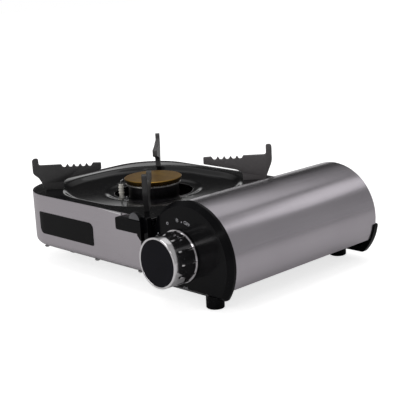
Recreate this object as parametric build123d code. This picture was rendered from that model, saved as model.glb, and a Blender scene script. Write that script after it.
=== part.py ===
"""Cassette stove: a burner box with a gas canister bay along its right side.

Millimetres, +Z up. The origin is the centre of the footprint, on the ground.
X runs from the burner box to the canister bay, and the knob faces -Y.
"""
from build123d import *
from math import asin, atan2, cos, degrees, pi, radians, sin, sqrt
import os

# ---------------------------------------------------------------- sheet stock and clearances
shell_sheet = 0.8
deck_sheet = 0.8
tray_sheet = 0.8
lid_sheet = 0.8
bracket_sheet = 1.2
slide_gap = 0.3            # between faces that move past each other
slot_gap = 0.15            # round a fixed part in its slot or hole
running_gap = 0.05         # radial, round a shaft or pin that turns
fit_gap = 0.2              # round a cover that drops into another

# ---------------------------------------------------------------- burner box
box_length = 254.6
box_depth = 229.5
box_height = 64.5
box_clearance = 24.5       # from the ground to the underside of the box
box_corner = 60.0
box_bottom_round = 8.0
flange_width = 14.0

# ---------------------------------------------------------------- canister bay
bay_axis_height = 52.0
lid_radius = 59.5
lid_span = 233.0           # between the two end caps
lid_gap = 3.3              # between the deck and the lid's hinge edge
lid_front_angle = -26.0    # the lid's lower right edge, seen from the front
lid_flange = 4.7
lid_hem = 3.2
hinge_inset = 2.8          # from the lid's inner face to the hinge axis
hinge_offset_angle = 1.0   # from the lid's hinge edge to the hinge axis
hinge_pin_radius = 2.0
hinge_ear_radius = 4.6
cap_lip = 2.0              # by which the end caps stand out past the lid
cap_depth = 9.0
cap_panel = 3.0
cap_rim = 2.5
cap_bevel = 4.8
cap_underside = 14.5       # flat underside of the front cap above the ground
rear_underside = 8.5       # the same for the rear cap, whose foot is short
cap_corner = 5.0           # where a cap's flat underside meets its round side
lid_lap = 5.7              # by which the lid's skin laps over the rear cap
lid_lap_start = -7.0       # degrees; below this the rear cap's own rim shows
lid_lap_end = 118.0
lid_lap_drop = 1.8         # by which the lapped edge is drawn in
tray_underside = 14.3
canister_radius = 33.5
canister_free_length = 193.5

# ---------------------------------------------------------------- knob and valve
knob_depth = 33.0
knob_radius = 27.5
knob_face_ring = 2.5
knob_wall = 2.0
knob_ribs = 12
knob_rib_height = 0.5
knob_rib_width = 1.8
knob_flange_radius = 28.6
knob_flange_depth = 1.9
knob_panel_gap = 0.6
knob_left_of_bay = 11.0
knob_above_bay = 2.0
spindle_radius = 3.0
knob_travel = 165.0        # degrees from off to ignition
cam_radius = 12.0
cam_lift = 3.0
cam_thickness = 2.0

# ---------------------------------------------------------------- deck and burner
burner_from_left = 129.3
burner_from_front = 117.0
bowl_length = 217.0
bowl_width = 197.0
bowl_corner = 92.0
bowl_shift = -2.5          # the bowl's centre in front of the burner's
bowl_depth = 6.4
bowl_slope = 7.0
well_radius = 47.6
well_recess_radius = 60.0
well_recess_depth = 1.8
well_lip = 4.0
deck_skirt = 7.0
burner_cup_radius = 31.0
burner_cup_wall = 2.2
burner_cup_height = 22.0
burner_ring_radius = 33.6
burner_ring_height = 3.0
burner_cap_radius = 35.3
burner_cap_height = 3.2
burner_port_height = 2.4
burner_ports = 36
burner_cap_above_deck = 9.8
mixer_radius = 9.0
mixer_wall = 1.0
mixer_reach = 112.0
electrode_reach = 40.0
electrode_angle = 222.0

# ---------------------------------------------------------------- pan supports
support_plate = 5.6
support_leg_inner = 110.0
support_tall_leg = 137.5      # outer side of the leg under a tall horn
support_short_leg = 131.5
support_arm_inner = 62.5
support_arm_outer = 146.0
support_arm_height = 30.0  # top of the arm above the deck
support_tall_horn = 42.5
support_short_horn = 38.5
support_horn_width = 7.0
support_tip_depth = 8.0
support_tooth_pitch = 7.8
support_tooth_depth = 3.4
support_teeth = 4
support_tenon_inner = 116.0
support_tenon_width = 13.0
support_tenon_depth = 6.0
keeper_margin = 3.0

# ---------------------------------------------------------------- lock lever and carriage
lever_travel = 14.0
carriage_travel = 8.0
lever_length = 41.5
lever_height = 14.0
lever_below_deck = 2.0
lever_before_box_end = 5.6
lever_thickness = 9.4
lever_proud = 10.0         # of the panel line
lever_neck_width = 5.0
lever_neck_height = 7.0
thumb_radius = 8.7
boss_width = 18.0
boss_height = 27.0
boss_past_box_end = 0.4
boss_above_deck = 2.0
boss_proud = 5.0
carriage_sheet = 1.5
carriage_width = 48.0
carriage_pin_radius = 2.0
carriage_pin_below_neck = 20.0

# ---------------------------------------------------------------- feet, plate and screws
foot_radius = 13.0
foot_taper = 1.5
foot_from_left = 34.0
foot_from_front = 67.0
foot_spacing = 120.0
cap_foot_radius = 10.0
cap_foot_taper = 0.6
front_foot_right_of_bay = 21.5
front_foot_behind_panel = 16.5
rear_foot_right_of_bay = 7.0
rear_foot_before_back = 10.5
name_plate_width = 102.0
name_plate_height = 26.5
name_plate_thickness = 0.6
name_plate_from_left = 51.5
name_plate_from_bottom = 17.5
name_plate_large_corner = 7.0
name_plate_small_corner = 1.5
screw_radius = 1.5
screw_head_radius = 3.0
screw_head_height = 1.8

# ---------------------------------------------------------------- places worked out from the sizes
deck_z = box_clearance + box_height
cap_radius = lid_radius + cap_lip
support_tenon_outer = support_tenon_inner + support_tenon_width
lid_inner_radius = lid_radius - lid_sheet
rear_step_radius = lid_inner_radius - lid_lap_drop - 0.6
hinge_rise = deck_z - bay_axis_height
lid_back_angle = 180.0 - degrees(asin(hinge_rise / lid_radius))
bay_from_box = lid_gap + sqrt(lid_radius**2 - hinge_rise**2)

x_left = -(box_length + bay_from_box + cap_radius) / 2
x_box = x_left + box_length
bay_x = x_box + bay_from_box
bay_z = bay_axis_height

y_knob = -(knob_depth + 2 * cap_depth + lid_span) / 2
y_panel = y_knob + knob_depth
y_panel_back = y_panel + cap_panel
y_lid_front = y_panel + cap_depth
y_lid_back = y_lid_front + lid_span
y_rear = y_lid_back + cap_depth
y_box = y_panel - 4.0
y_box_back = y_box + box_depth

burner_x = x_left + burner_from_left
burner_y = y_box + burner_from_front
knob_x = bay_x - knob_left_of_bay
knob_z = bay_z + knob_above_bay

lever_top = deck_z - lever_below_deck
lever_bottom = lever_top - lever_height
lever_right = x_box - lever_before_box_end
lever_left = lever_right - lever_length
boss_right = x_box + boss_past_box_end
boss_left = boss_right - boss_width
boss_top = deck_z + boss_above_deck
boss_bottom = boss_top - boss_height

z_flange = box_clearance + shell_sheet
z_floor = z_flange + shell_sheet               # top of the bottom plate
z_bowl = deck_z - bowl_depth
z_well = z_bowl - well_recess_depth
z_cap = deck_z + burner_cap_above_deck         # top of the burner cap
z_ports = z_cap - burner_cap_height - burner_port_height
z_ring = z_ports - burner_ring_height
z_cup = z_ring - burner_cup_height
z_mixer = z_cup - mixer_radius + 1.0

hinge_radius = lid_inner_radius - hinge_inset
hinge_angle = radians(lid_back_angle - hinge_offset_angle)
hinge_x = bay_x + hinge_radius * cos(hinge_angle)
hinge_z = bay_z + hinge_radius * sin(hinge_angle)

x_wall = x_box                                 # outer face of the bay's left wall
x_partition = x_wall + tray_sheet
z_tray = tray_underside
z_tray_floor = z_tray + tray_sheet
z_carriage = z_tray_floor + slide_gap
z_carriage_top = z_carriage + carriage_sheet
tray_floor_right = bay_x + 25.0
tray_lip_x = bay_x + 47.5
tray_lip_z = z_tray + 12.0
tray_lip_top = tray_lip_z + 8.0

y_bulkhead = y_lid_front + 1.6
y_cover = y_bulkhead + bracket_sheet
governor_radius = 22.0
governor_cover_depth = 8.5
diaphragm_sheet = 0.8
governor_depth = 13.9
seat_radius = 17.0
seat_depth = 8.0
y_diaphragm = y_cover + governor_cover_depth
y_governor = y_diaphragm + diaphragm_sheet
y_seat = y_governor + governor_depth
y_seat_face = y_seat + seat_depth
y_pusher = y_seat_face + canister_free_length
y_rear_bulkhead = y_lid_back - 1.6 - bracket_sheet

mixer_direction = Vector(98.7, -72.0, 0).normalized()
outlet_y = y_seat - 5.0
outlet_z = bay_z + 10.0


# ---------------------------------------------------------------- helpers
def block(x0, x1, y0, y1, z0, z1):
    """A box between two corners."""
    centre = Pos((x0 + x1) / 2, (y0 + y1) / 2, (z0 + z1) / 2)
    return centre * Box(x1 - x0, y1 - y0, z1 - z0)


def rod_x(y, z, radius, x0, x1):
    """A round bar along X."""
    return Pos((x0 + x1) / 2, y, z) * Rot(0, 90, 0) * Cylinder(radius, x1 - x0)


def rod_y(x, z, radius, y0, y1):
    """A round bar along Y."""
    return Pos(x, (y0 + y1) / 2, z) * Rot(90, 0, 0) * Cylinder(radius, y1 - y0)


def rod_z(x, y, radius, z0, z1):
    """A round bar along Z."""
    return Pos(x, y, (z0 + z1) / 2) * Cylinder(radius, z1 - z0)


def prism_y(face, y0, y1):
    """A face drawn in X and Z, carried from y0 to y1."""
    return extrude(Plane.XZ.offset(-y1) * face, y1 - y0)


def prism_x(face, x0, x1):
    """A face drawn in Y and Z, carried from x0 to x1."""
    return extrude(Plane.YZ.offset(x0) * face, x1 - x0)


def prism_z(face, z0, z1):
    """A face drawn in X and Y, carried from z0 to z1."""
    return extrude(Pos(0, 0, z0) * face, z1 - z0)


def polygon(*points):
    """A flat face from its corners."""
    return make_face(Polyline(*points, close=True))


def folded_sheet(points, thickness):
    """The section of a bent sheet: a line of points, with its thickness to the left of the line."""
    directions = [(Vector(*b) - Vector(*a)).normalized() for a, b in zip(points, points[1:])]
    normals = [Vector(-d.Y, d.X) for d in directions]
    offsets = [normals[0]]
    for before, after in zip(normals, normals[1:]):
        middle = (before + after).normalized()
        offsets.append(middle * (1 / middle.dot(before)))
    offsets.append(normals[-1])
    inner = [Vector(*p) + o * thickness for p, o in zip(points, offsets)]
    corners = [tuple(p) for p in points] + [(v.X, v.Y) for v in reversed(inner)]
    return polygon(*corners)


def sector(radius, start, end):
    """A pie slice between two angles in degrees, wide enough to cut a ring."""
    steps = 8
    angles = [radians(start + (end - start) * i / steps) for i in range(steps + 1)]
    reach = radius * 1.2
    return polygon((0, 0), *[(reach * cos(a), reach * sin(a)) for a in angles])


def ring_y(x, z, outer, inner, y0, y1):
    """A flat ring or sleeve along Y."""
    return prism_y(Pos(x, z) * (Circle(outer) - Circle(inner)), y0, y1)


def screw(length, head_radius=screw_head_radius, head_height=screw_head_height):
    """A pan-head screw, its head below the origin and its shank along +Z."""
    head = Pos(0, 0, -head_height / 2) * Cylinder(head_radius, head_height)
    head = chamfer(head.edges().sort_by(Axis.Z)[0], head_height * 0.4)
    slot = Pos(0, 0, -head_height) * (Box(head_radius * 1.3, 0.7, 1.0) + Box(0.7, head_radius * 1.3, 1.0))
    shank = Pos(0, 0, length / 2) * Cylinder(screw_radius, length)
    return head - slot + shank


def box_outline(inset):
    """The burner box in plan, with round corners on the left, pulled in by an inset."""
    x0, y0, y1 = x_left + inset, y_box + inset, y_box_back - inset
    face = Pos((x0 + x_box) / 2, (y0 + y1) / 2) * Rectangle(x_box - x0, y1 - y0)
    return fillet(face.vertices().sort_by(Axis.X)[:2], box_corner - inset)


def bowl_outline(inset):
    """The drip bowl in plan, pulled in by an inset."""
    centre = Pos(burner_x, burner_y + bowl_shift)
    length, width = bowl_length - 2 * inset, bowl_width - 2 * inset
    return centre * RectangleRounded(length, width, min(bowl_corner - inset, width / 2 - 1))


def radial_plane(angle):
    """Upright plane through the burner axis: its X is the distance from the axis, its Y is up."""
    out = Vector(cos(radians(angle)), sin(radians(angle)), 0)
    across = Vector(sin(radians(angle)), -cos(radians(angle)), 0)
    return Plane(origin=(burner_x, burner_y, 0), x_dir=out, z_dir=across)


# ---------------------------------------------------------------- burner box
bottom_screw_places = [
    (x, y)
    for x in (x_left + 52.0, burner_x + 20.0, boss_left - 12.0)
    for y in (y_box + flange_width / 2, y_box_back - flange_width / 2)
]


def make_body_shell():
    """Stainless wall round the front, left and back, with a rounded lower edge and an inner flange."""
    outer = prism_z(box_outline(0), box_clearance, deck_z)
    low_edges = outer.edges().group_by(Axis.Z)[0]
    outer = fillet(low_edges.sort_by(Axis.X)[:-1], box_bottom_round)
    inner = prism_z(box_outline(shell_sheet), z_flange, deck_z + 1)
    low_edges = inner.edges().group_by(Axis.Z)[0]
    inner = fillet(low_edges.sort_by(Axis.X)[:-1], box_bottom_round - shell_sheet)
    shell = outer - inner
    shell -= prism_z(box_outline(flange_width), box_clearance - 1, z_flange + 1)
    shell -= block(boss_left - fit_gap, x_box + 1, y_box - 1, y_box + 20, box_clearance - 1, deck_z + 1)
    for x, y in bottom_screw_places:
        shell -= rod_z(x, y, screw_radius + slot_gap, box_clearance - 1, z_flange + 1)
    return shell


def make_bottom_plate():
    """Galvanised floor on the shell's flange, with cooling slots and holes for screws and feet."""
    plate = prism_z(box_outline(box_bottom_round), z_flange, z_floor)
    slots = range(-3, 4)
    for i in slots:
        slot = Pos(burner_x + 14.0 * i, burner_y) * SlotOverall(60.0, 5.0, rotation=90)
        plate -= prism_z(slot, z_flange - 1, z_floor + 1)
    for x, y in bottom_screw_places + foot_places:
        plate -= rod_z(x, y, screw_radius + slot_gap, z_flange - 1, z_floor + 1)
    for x, y in bracket_screw_places:
        plate -= rod_z(x, y, screw_radius + slot_gap, z_flange - 1, z_floor + 1)
    plate -= block(boss_left - fit_gap, x_box + 1, y_box, y_box + 20, z_flange - 1, z_floor + 1)
    return plate


def make_bottom_screws():
    """Screws up through the flange and the bottom plate."""
    return Compound([Pos(x, y, box_clearance) * screw(6.0) for x, y in bottom_screw_places])


def make_top_deck():
    """Enamelled deck with a sunken drip bowl, a recess round the burner well and a turned-down skirt."""
    edge = shell_sheet + fit_gap
    plate = prism_z(box_outline(edge), deck_z - deck_sheet, deck_z)
    skirt = box_outline(edge) - box_outline(edge + deck_sheet)
    plate += prism_z(skirt, deck_z - deck_sheet - deck_skirt, deck_z - deck_sheet)
    plate -= block(boss_left, x_box + 1, y_box, y_box + 4, 0, deck_z - deck_sheet)
    outside = loft([
        Pos(0, 0, z_bowl - deck_sheet) * bowl_outline(bowl_slope),
        Pos(0, 0, deck_z) * bowl_outline(-deck_sheet),
    ])
    inside = loft([
        Pos(0, 0, z_bowl) * bowl_outline(bowl_slope),
        Pos(0, 0, deck_z) * bowl_outline(0),
    ])
    deck = plate + outside - inside
    axis = Pos(burner_x, burner_y)
    deck -= axis * rod_z(0, 0, well_recess_radius, 0, deck_z + 1)
    section = folded_sheet([
        (well_recess_radius + 1.0, z_bowl),
        (well_recess_radius, z_bowl),
        (well_recess_radius - 6.0, z_well),
        (well_radius, z_well),
        (well_radius, z_well - well_lip),
    ], deck_sheet)
    deck += axis * revolve(Plane.XZ * section, Axis.Z)
    for angle in support_angles:
        tenon = support_tenon(slot_gap)
        deck -= extrude(radial_plane(angle) * tenon, support_plate / 2 + slot_gap, both=True)
    return deck


def make_deck_brackets():
    """Spot-welded angles inside the shell, on which the deck's skirt rests."""
    top = deck_z - deck_sheet - deck_skirt
    wall = shell_sheet
    brackets = []
    for x in (burner_x - 40.0, burner_x + 40.0):
        front = folded_sheet([(y_box + wall, top - 12.0), (y_box + wall, top), (y_box + 10.0, top)],
                             -bracket_sheet)
        back = folded_sheet([(y_box_back - wall, top - 12.0), (y_box_back - wall, top),
                             (y_box_back - 10.0, top)], bracket_sheet)
        brackets += [prism_x(front, x - 9.0, x + 9.0), prism_x(back, x - 9.0, x + 9.0)]
    return Compound(brackets)


def make_name_plate():
    """Bare badge on the front wall, with one large corner at the top right and one at the lower left."""
    centre_x = x_left + name_plate_from_left + name_plate_width / 2
    centre_z = box_clearance + name_plate_from_bottom + name_plate_height / 2
    face = Pos(centre_x, centre_z) * Rectangle(name_plate_width, name_plate_height)
    corners = face.vertices().sort_by(lambda v: v.X + v.Y * 10)
    lower_left, lower_right, upper_left, upper_right = corners
    face = fillet([lower_left, upper_right], name_plate_large_corner)
    face = fillet(
        [v for v in face.vertices()
         if (v.center() - lower_right.center()).length < 0.01
         or (v.center() - upper_left.center()).length < 0.01],
        name_plate_small_corner)
    skin = prism_z(box_outline(-name_plate_thickness) - box_outline(0), box_clearance, deck_z)
    return prism_y(face, y_box - 2, y_box + 4) & skin


foot_places = [
    (x_left + foot_from_left, y_box + foot_from_front),
    (x_left + foot_from_left, y_box + foot_from_front + foot_spacing),
]


def make_box_feet():
    """Two tapered rubber feet under the burner end of the box."""
    feet = []
    for x, y in foot_places:
        foot = Pos(x, y, z_flange / 2) * Cone(foot_radius - foot_taper, foot_radius, z_flange)
        foot -= rod_z(x, y, screw_head_radius + slot_gap, -1, z_flange - 5)
        foot -= rod_z(x, y, screw_radius + slot_gap, 0, z_flange + 1)
        feet.append(foot)
    return Compound(feet)


def make_foot_screws():
    """Screws up through the box feet."""
    return Compound([Pos(x, y, z_flange - 5) * screw(10.0) for x, y in foot_places])


# ---------------------------------------------------------------- burner
bracket_half_span = 24.0
bracket_screw_places = [(burner_x - bracket_half_span - 6.0, burner_y),
                        (burner_x + bracket_half_span + 6.0, burner_y)]
boss_radius = 14.0
z_boss = z_mixer - mixer_radius - 3.0          # underside of the burner's central boss


def make_burner_body():
    """Cast cup with a central boss that takes the mixing tube, and a lug for the electrode."""
    axis = Pos(burner_x, burner_y)
    cup = axis * rod_z(0, 0, burner_cup_radius, z_cup, z_ring)
    cup -= axis * rod_z(0, 0, burner_cup_radius - burner_cup_wall, z_cup + 3.0, z_ring + 1)
    cup += axis * rod_z(0, 0, boss_radius, z_boss, z_cup)
    cup -= axis * rod_z(0, 0, mixer_radius - mixer_wall, z_mixer, z_cup + 4)
    lug = axis * Rot(0, 0, electrode_angle) * block(burner_cup_radius - 1, burner_cup_radius + 5, -5, 5,
                                                    z_cup, z_cup + 4)
    cup += lug
    cup -= mixer_rod(mixer_radius, 0, 60)
    screw_spot = electrode_screw_place()
    cup -= rod_z(screw_spot.X, screw_spot.Y, screw_radius, z_cup + 0.6, z_cup + 5)
    cup -= rod_z(burner_x, burner_y, screw_radius, z_boss - 1, z_boss + 2.2)
    cup -= rod_z(strap_screw_x, strap_screw_y, screw_radius, z_cup - 1, z_cup + 2.2)
    return cup


def mixer_rod(radius, start, end):
    """A round bar along the mixing tube's axis, between two distances from the burner axis."""
    start_point = Vector(burner_x, burner_y, z_mixer) + mixer_direction * start
    plane = Plane(origin=start_point, x_dir=(0, 0, 1), z_dir=mixer_direction)
    return extrude(plane * Circle(radius), end - start)


def make_mixing_tube():
    """Tube that draws in air round the gas jet, with a bell mouth."""
    start = Vector(burner_x, burner_y, z_mixer) + mixer_direction * 4.0
    plane = Plane(origin=start, x_dir=(0, 0, 1), z_dir=mixer_direction)
    length = mixer_reach - 4.0
    outer, inner = mixer_radius, mixer_radius - mixer_wall
    section = polygon((inner, 0), (outer, 0), (outer, length - 8.0), (outer + 4.0, length),
                      (outer + 3.0, length + 0.6), (inner, length - 7.6))
    return plane * revolve(Plane.XZ * section, Axis.Z)


def make_burner_ring():
    """Chromed ring that seats the cap on the cup."""
    section = polygon(
        (burner_cup_radius - burner_cup_wall, z_ring), (burner_cup_radius, z_ring),
        (burner_ring_radius, z_ring + 1.0), (burner_ring_radius, z_ring + 2.0),
        (burner_ring_radius - 1.0, z_ports), (burner_cup_radius - burner_cup_wall, z_ports))
    return Pos(burner_x, burner_y) * revolve(Plane.XZ * section, Axis.Z)


def make_burner_cap():
    """Brass cap: a shallow disc over a ring of flame ports, with a spigot that centres it."""
    axis = Pos(burner_x, burner_y)
    disc = axis * rod_z(0, 0, burner_cap_radius, z_ports + burner_port_height, z_cap)
    disc = chamfer(disc.edges().sort_by(Axis.Z)[-1], 0.8)
    ports = axis * rod_z(0, 0, burner_cap_radius - 1.6, z_ports, z_ports + burner_port_height)
    for i in range(burner_ports):
        turn = Rot(0, 0, 360 / burner_ports * i)
        ports -= axis * turn * block(26.0, burner_cap_radius, -0.9, 0.9, z_ports, z_ports + 1.6)
    spigot_radius = burner_cup_radius - burner_cup_wall - slot_gap
    spigot = axis * rod_z(0, 0, spigot_radius, z_ports - 5.0, z_ports)
    hollow = axis * rod_z(0, 0, spigot_radius - 2.5, z_ports - 6.0, z_ports + burner_port_height - 0.4)
    return disc + ports + spigot - hollow


def make_burner_bracket():
    """Hat-shaped strap from the bottom plate to the burner's boss."""
    half, foot = bracket_half_span, 12.0
    points = [(burner_x + half + foot, z_floor + bracket_sheet), (burner_x + half, z_floor + bracket_sheet),
              (burner_x + half - 6.0, z_boss), (burner_x - half + 6.0, z_boss),
              (burner_x - half, z_floor + bracket_sheet), (burner_x - half - foot, z_floor + bracket_sheet)]
    strap = prism_y(folded_sheet(points, bracket_sheet), burner_y - 10.0, burner_y + 10.0)
    for x, y in bracket_screw_places + [(burner_x, burner_y)]:
        strap -= rod_z(x, y, screw_radius + slot_gap, z_floor - 1, z_boss + 1)
    return strap


def make_burner_screws():
    """Screws of the bracket, the burner's boss, the heat strap and the electrode clip."""
    screws = [Pos(x, y, z_flange) * screw(5.0) for x, y in bracket_screw_places]
    screws.append(Pos(burner_x, burner_y, z_boss - bracket_sheet) * screw(bracket_sheet + 2.2))
    screws.append(Pos(strap_screw_x, strap_screw_y, conductor_z - conductor_sheet) * screw(
        conductor_sheet + 2.2))
    place = electrode_screw_place()
    clip_top = z_cup + 4.0 + bracket_sheet
    screws.append(Pos(place.X, place.Y, clip_top) * Rot(180, 0, 0) * screw(bracket_sheet + 3.0, 2.4))
    return Compound(screws)


def electrode_place(reach):
    """A point on the electrode's radius, at a distance from the burner axis."""
    angle = radians(electrode_angle)
    return Vector(burner_x + reach * cos(angle), burner_y + reach * sin(angle), 0)


def electrode_screw_place():
    return electrode_place(burner_cup_radius + 2.6)


insulator_radius = 3.0
electrode_wire_radius = 0.8
z_insulator = z_cup - 4.0
z_insulator_top = deck_z + 1.0


def make_electrode_insulator():
    """Ribbed white ceramic sleeve."""
    p = electrode_place(electrode_reach)
    body = rod_z(p.X, p.Y, insulator_radius, z_insulator, z_insulator_top)
    for i in range(3):
        z = z_insulator_top - 3.0 - 3.4 * i
        body += rod_z(p.X, p.Y, insulator_radius + 0.6, z - 0.9, z)
    return body - rod_z(p.X, p.Y, electrode_wire_radius, z_insulator - 1, z_insulator_top + 1)


def make_electrode_wire():
    """Spark wire through the ceramic, bent over towards the burner cap's edge."""
    foot = electrode_place(electrode_reach) + Vector(0, 0, z_insulator - 3.0)
    knee = electrode_place(electrode_reach) + Vector(0, 0, z_ports + 1.0)
    tip = electrode_place(burner_cap_radius + 1.2) + Vector(0, 0, z_ports + 3.0)
    path = FilletPolyline(foot, knee, tip, radius=1.4)
    return sweep(Plane(origin=foot, z_dir=(0, 0, 1)) * Circle(electrode_wire_radius), path)


def make_electrode_clip():
    """Small plate on the burner's lug that grips the ceramic sleeve."""
    turn = Pos(burner_x, burner_y) * Rot(0, 0, electrode_angle)
    z0 = z_cup + 4.0
    clip = turn * block(burner_cup_radius + 0.3, electrode_reach + 5.0, -5, 5, z0, z0 + bracket_sheet)
    p, s = electrode_place(electrode_reach), electrode_screw_place()
    clip -= rod_z(p.X, p.Y, insulator_radius, z0 - 1, z0 + 2)
    return clip - rod_z(s.X, s.Y, screw_radius + slot_gap, z0 - 1, z0 + 2)


def make_gas_jet():
    """Hexagonal brass jet at the mouth of the mixing tube."""
    start = Vector(burner_x, burner_y, z_mixer) + mixer_direction * (mixer_reach - 6.0)
    plane = Plane(origin=start, x_dir=(0, 0, 1), z_dir=mixer_direction)
    nose = extrude(plane * Circle(2.6), 6.0)
    collar = extrude(plane.offset(6.0) * RegularPolygon(4.6, 6), 6.0)
    bore = extrude(plane * Circle(0.6), 12.0)
    return nose + collar - bore


def make_jet_holder():
    """Folded strap that holds the jet in line with the mixing tube, foot screwed to the bottom plate."""
    start = Vector(burner_x, burner_y, z_floor) + mixer_direction * (mixer_reach + 6.0)
    plane = Plane(origin=start, x_dir=(-mixer_direction.Y, mixer_direction.X, 0), z_dir=mixer_direction)
    height = z_mixer - z_floor
    upright = extrude(plane * Pos(0, (height + 8.0) / 2) * Rectangle(16.0, height + 8.0), bracket_sheet)
    foot = extrude(plane * Pos(0, bracket_sheet / 2) * Rectangle(16.0, bracket_sheet), 14.0)
    hole = extrude(plane * Pos(0, height) * Circle(gas_tube_radius + slot_gap), 3.0)
    return upright + foot - hole


gas_tube_radius = 2.5


def make_gas_tube():
    """Bent tube from the pressure governor's outlet to the jet."""
    outlet = Vector(bay_x - governor_radius - 3.5, outlet_y, z_mixer)
    jet = Vector(burner_x, burner_y, z_mixer) + mixer_direction * (mixer_reach + 6.0)
    corner_reach = (outlet_y - burner_y) / mixer_direction.Y
    corner = Vector(burner_x, burner_y, z_mixer) + mixer_direction * corner_reach
    path = FilletPolyline(outlet, corner, jet, radius=10.0)
    plane = Plane(origin=outlet, z_dir=(-1, 0, 0))
    return sweep(plane * Circle(gas_tube_radius), path) - sweep(plane * Circle(gas_tube_radius - 1.0), path)


def make_tube_nut():
    """Hexagonal union nut on the governor's outlet."""
    x1 = bay_x - governor_radius - 0.5
    plane = Plane(origin=(x1 - 9.0, outlet_y, z_mixer), z_dir=(1, 0, 0))
    nut = extrude(plane * RegularPolygon(5.2, 6), 9.0)
    return nut - extrude(plane * Circle(gas_tube_radius + slot_gap), 9.0)


# ---------------------------------------------------------------- pan supports
support_angles = (225.0, 315.0, 135.0, 45.0)
support_names = {225.0: "front_left", 315.0: "front_right", 135.0: "back_left", 45.0: "back_right"}
tall_supports = (315.0, 45.0)


def support_tenon(gap):
    """The tongue under a support's leg, which goes through the deck."""
    width = support_tenon_outer - support_tenon_inner + 2 * gap
    centre = (support_tenon_outer + support_tenon_inner) / 2
    top = deck_z + (1.0 if gap else 0.0)
    low = deck_z - support_tenon_depth - gap
    return Pos(centre, (top + low) / 2) * Rectangle(width, top - low)


def support_outline(horn_height, leg_side):
    """A support seen side on: a notched arm on a leg, with a horn at its outer end.

    leg_side lists the corners of the leg's outer side, from the horn down to the deck.
    """
    arm = deck_z + support_arm_height
    tip = support_arm_inner
    horn = support_arm_outer - support_horn_width
    low = arm - support_tip_depth
    points = [(tip, low), (tip, arm)]
    first = tip + 10.0
    for i in range(support_teeth + 1):
        start = first + support_tooth_pitch * i
        points += [(start, arm), (start + support_tooth_pitch * 0.35, arm - support_tooth_depth),
                   (start + support_tooth_pitch * 0.65, arm - support_tooth_depth)]
        if i == support_teeth:
            points.append((start + support_tooth_pitch, arm))
    top = deck_z + horn_height
    points += [(horn, arm), (horn, top), (support_arm_outer, top)] + leg_side
    points += [(support_leg_inner, deck_z), (support_leg_inner, deck_z + 10.0),
               (support_leg_inner - 6.0, deck_z + 15.5)]
    face = polygon(*points)
    top_corners = [v for v in face.vertices() if abs(v.Y - top) < 0.01]
    face = fillet(top_corners, support_horn_width * 0.42)
    root = [v for v in face.vertices() if abs(v.Y - arm) < 0.01 and abs(v.X - horn) < 0.01]
    return fillet(root, 1.6)


def make_support(angle):
    """One pan support, standing on the deck and keyed through it."""
    if angle in tall_supports:
        side = [(support_arm_outer, deck_z + 22.0), (support_tall_leg + 1.0, deck_z + 3.0),
                (support_tall_leg, deck_z)]
        face = support_outline(support_tall_horn, side)
    else:
        side = [(support_arm_outer, deck_z + 20.0), (support_arm_outer - 2.0, deck_z + 17.0),
                (support_short_leg + 8.0, deck_z + 15.0), (support_short_leg + 3.5, deck_z + 7.0),
                (support_short_leg, deck_z)]
        face = support_outline(support_short_horn, side)
    face += support_tenon(0)
    return extrude(radial_plane(angle) * face, support_plate / 2, both=True)


def make_support_keepers():
    """Slotted plates under the deck that hold the four tenons."""
    keepers = []
    z1 = deck_z - deck_sheet
    z0 = z1 - 2.4
    for angle in support_angles:
        centre = Pos((support_tenon_inner + support_tenon_outer) / 2, 0)
        length = support_tenon_outer - support_tenon_inner
        face = centre * Rectangle(length + 2 * keeper_margin, support_plate + 2 * keeper_margin)
        face -= centre * Rectangle(length + 2 * slot_gap, support_plate + 2 * slot_gap)
        keepers.append(Pos(burner_x, burner_y) * Rot(0, 0, angle) * prism_z(face, z0, z1))
    return Compound(keepers)


# ---------------------------------------------------------------- canister bay
def tray_section():
    """The tray's lower surface: left wall, floor, sloping right side and lip."""
    return [(tray_lip_x, tray_lip_top), (tray_lip_x, tray_lip_z), (tray_floor_right, z_tray),
            (x_wall, z_tray), (x_wall, bay_z - 12.0)]


def make_can_tray():
    """Folded tray under the canister, between the end caps."""
    face = folded_sheet(tray_section()[::-1], tray_sheet)
    return prism_y(face, y_lid_front, y_lid_back)


cap_screw_places = [(bay_x - 25.0, bay_z + 32.0), (bay_x + 34.0, bay_z + 28.0), (bay_x + 38.0, bay_z - 22.0)]


def bay_bulkhead(y0):
    """A plate across the bay, seated on the tray's slope."""
    slope = (tray_lip_z - z_tray) / (tray_lip_x - tray_floor_right)
    rise = tray_sheet * sqrt(1 + slope**2)
    low = z_carriage_top + 0.6

    def slope_z(x):
        return z_tray + rise + (x - tray_floor_right) * slope

    x_low = tray_floor_right + (low - z_tray - rise) / slope
    x_high = tray_lip_x - tray_sheet
    area = polygon((x_partition + 7.0, low), (x_low, low), (x_high, slope_z(x_high)), (x_high, bay_z + 60.0),
                   (x_partition + 7.0, bay_z + 60.0))
    face = area & (Pos(bay_x, bay_z) * Circle(hinge_radius - hinge_ear_radius + 1.5))
    plate = prism_y(face, y0, y0 + bracket_sheet)
    for x, z in cap_screw_places:
        plate -= rod_y(x, z, screw_radius + slot_gap, y0 - 1, y0 + 3)
    return plate


igniter_x0, igniter_x1 = knob_x - 6.5, knob_x + 6.5
igniter_z0, igniter_z1 = z_carriage_top + 1.0, bay_z - governor_radius - 1.0
governor_screw_angles = (50.0, 130.0, 230.0, 310.0)
governor_screw_reach = governor_radius - 3.6


def governor_screw_holes(y0, y1):
    """The four clamping holes of the governor."""
    holes = []
    for angle in governor_screw_angles:
        a = radians(angle)
        x, z = bay_x + governor_screw_reach * cos(a), bay_z + governor_screw_reach * sin(a)
        holes.append(rod_y(x, z, screw_radius + slot_gap, y0, y1))
    return holes


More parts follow.
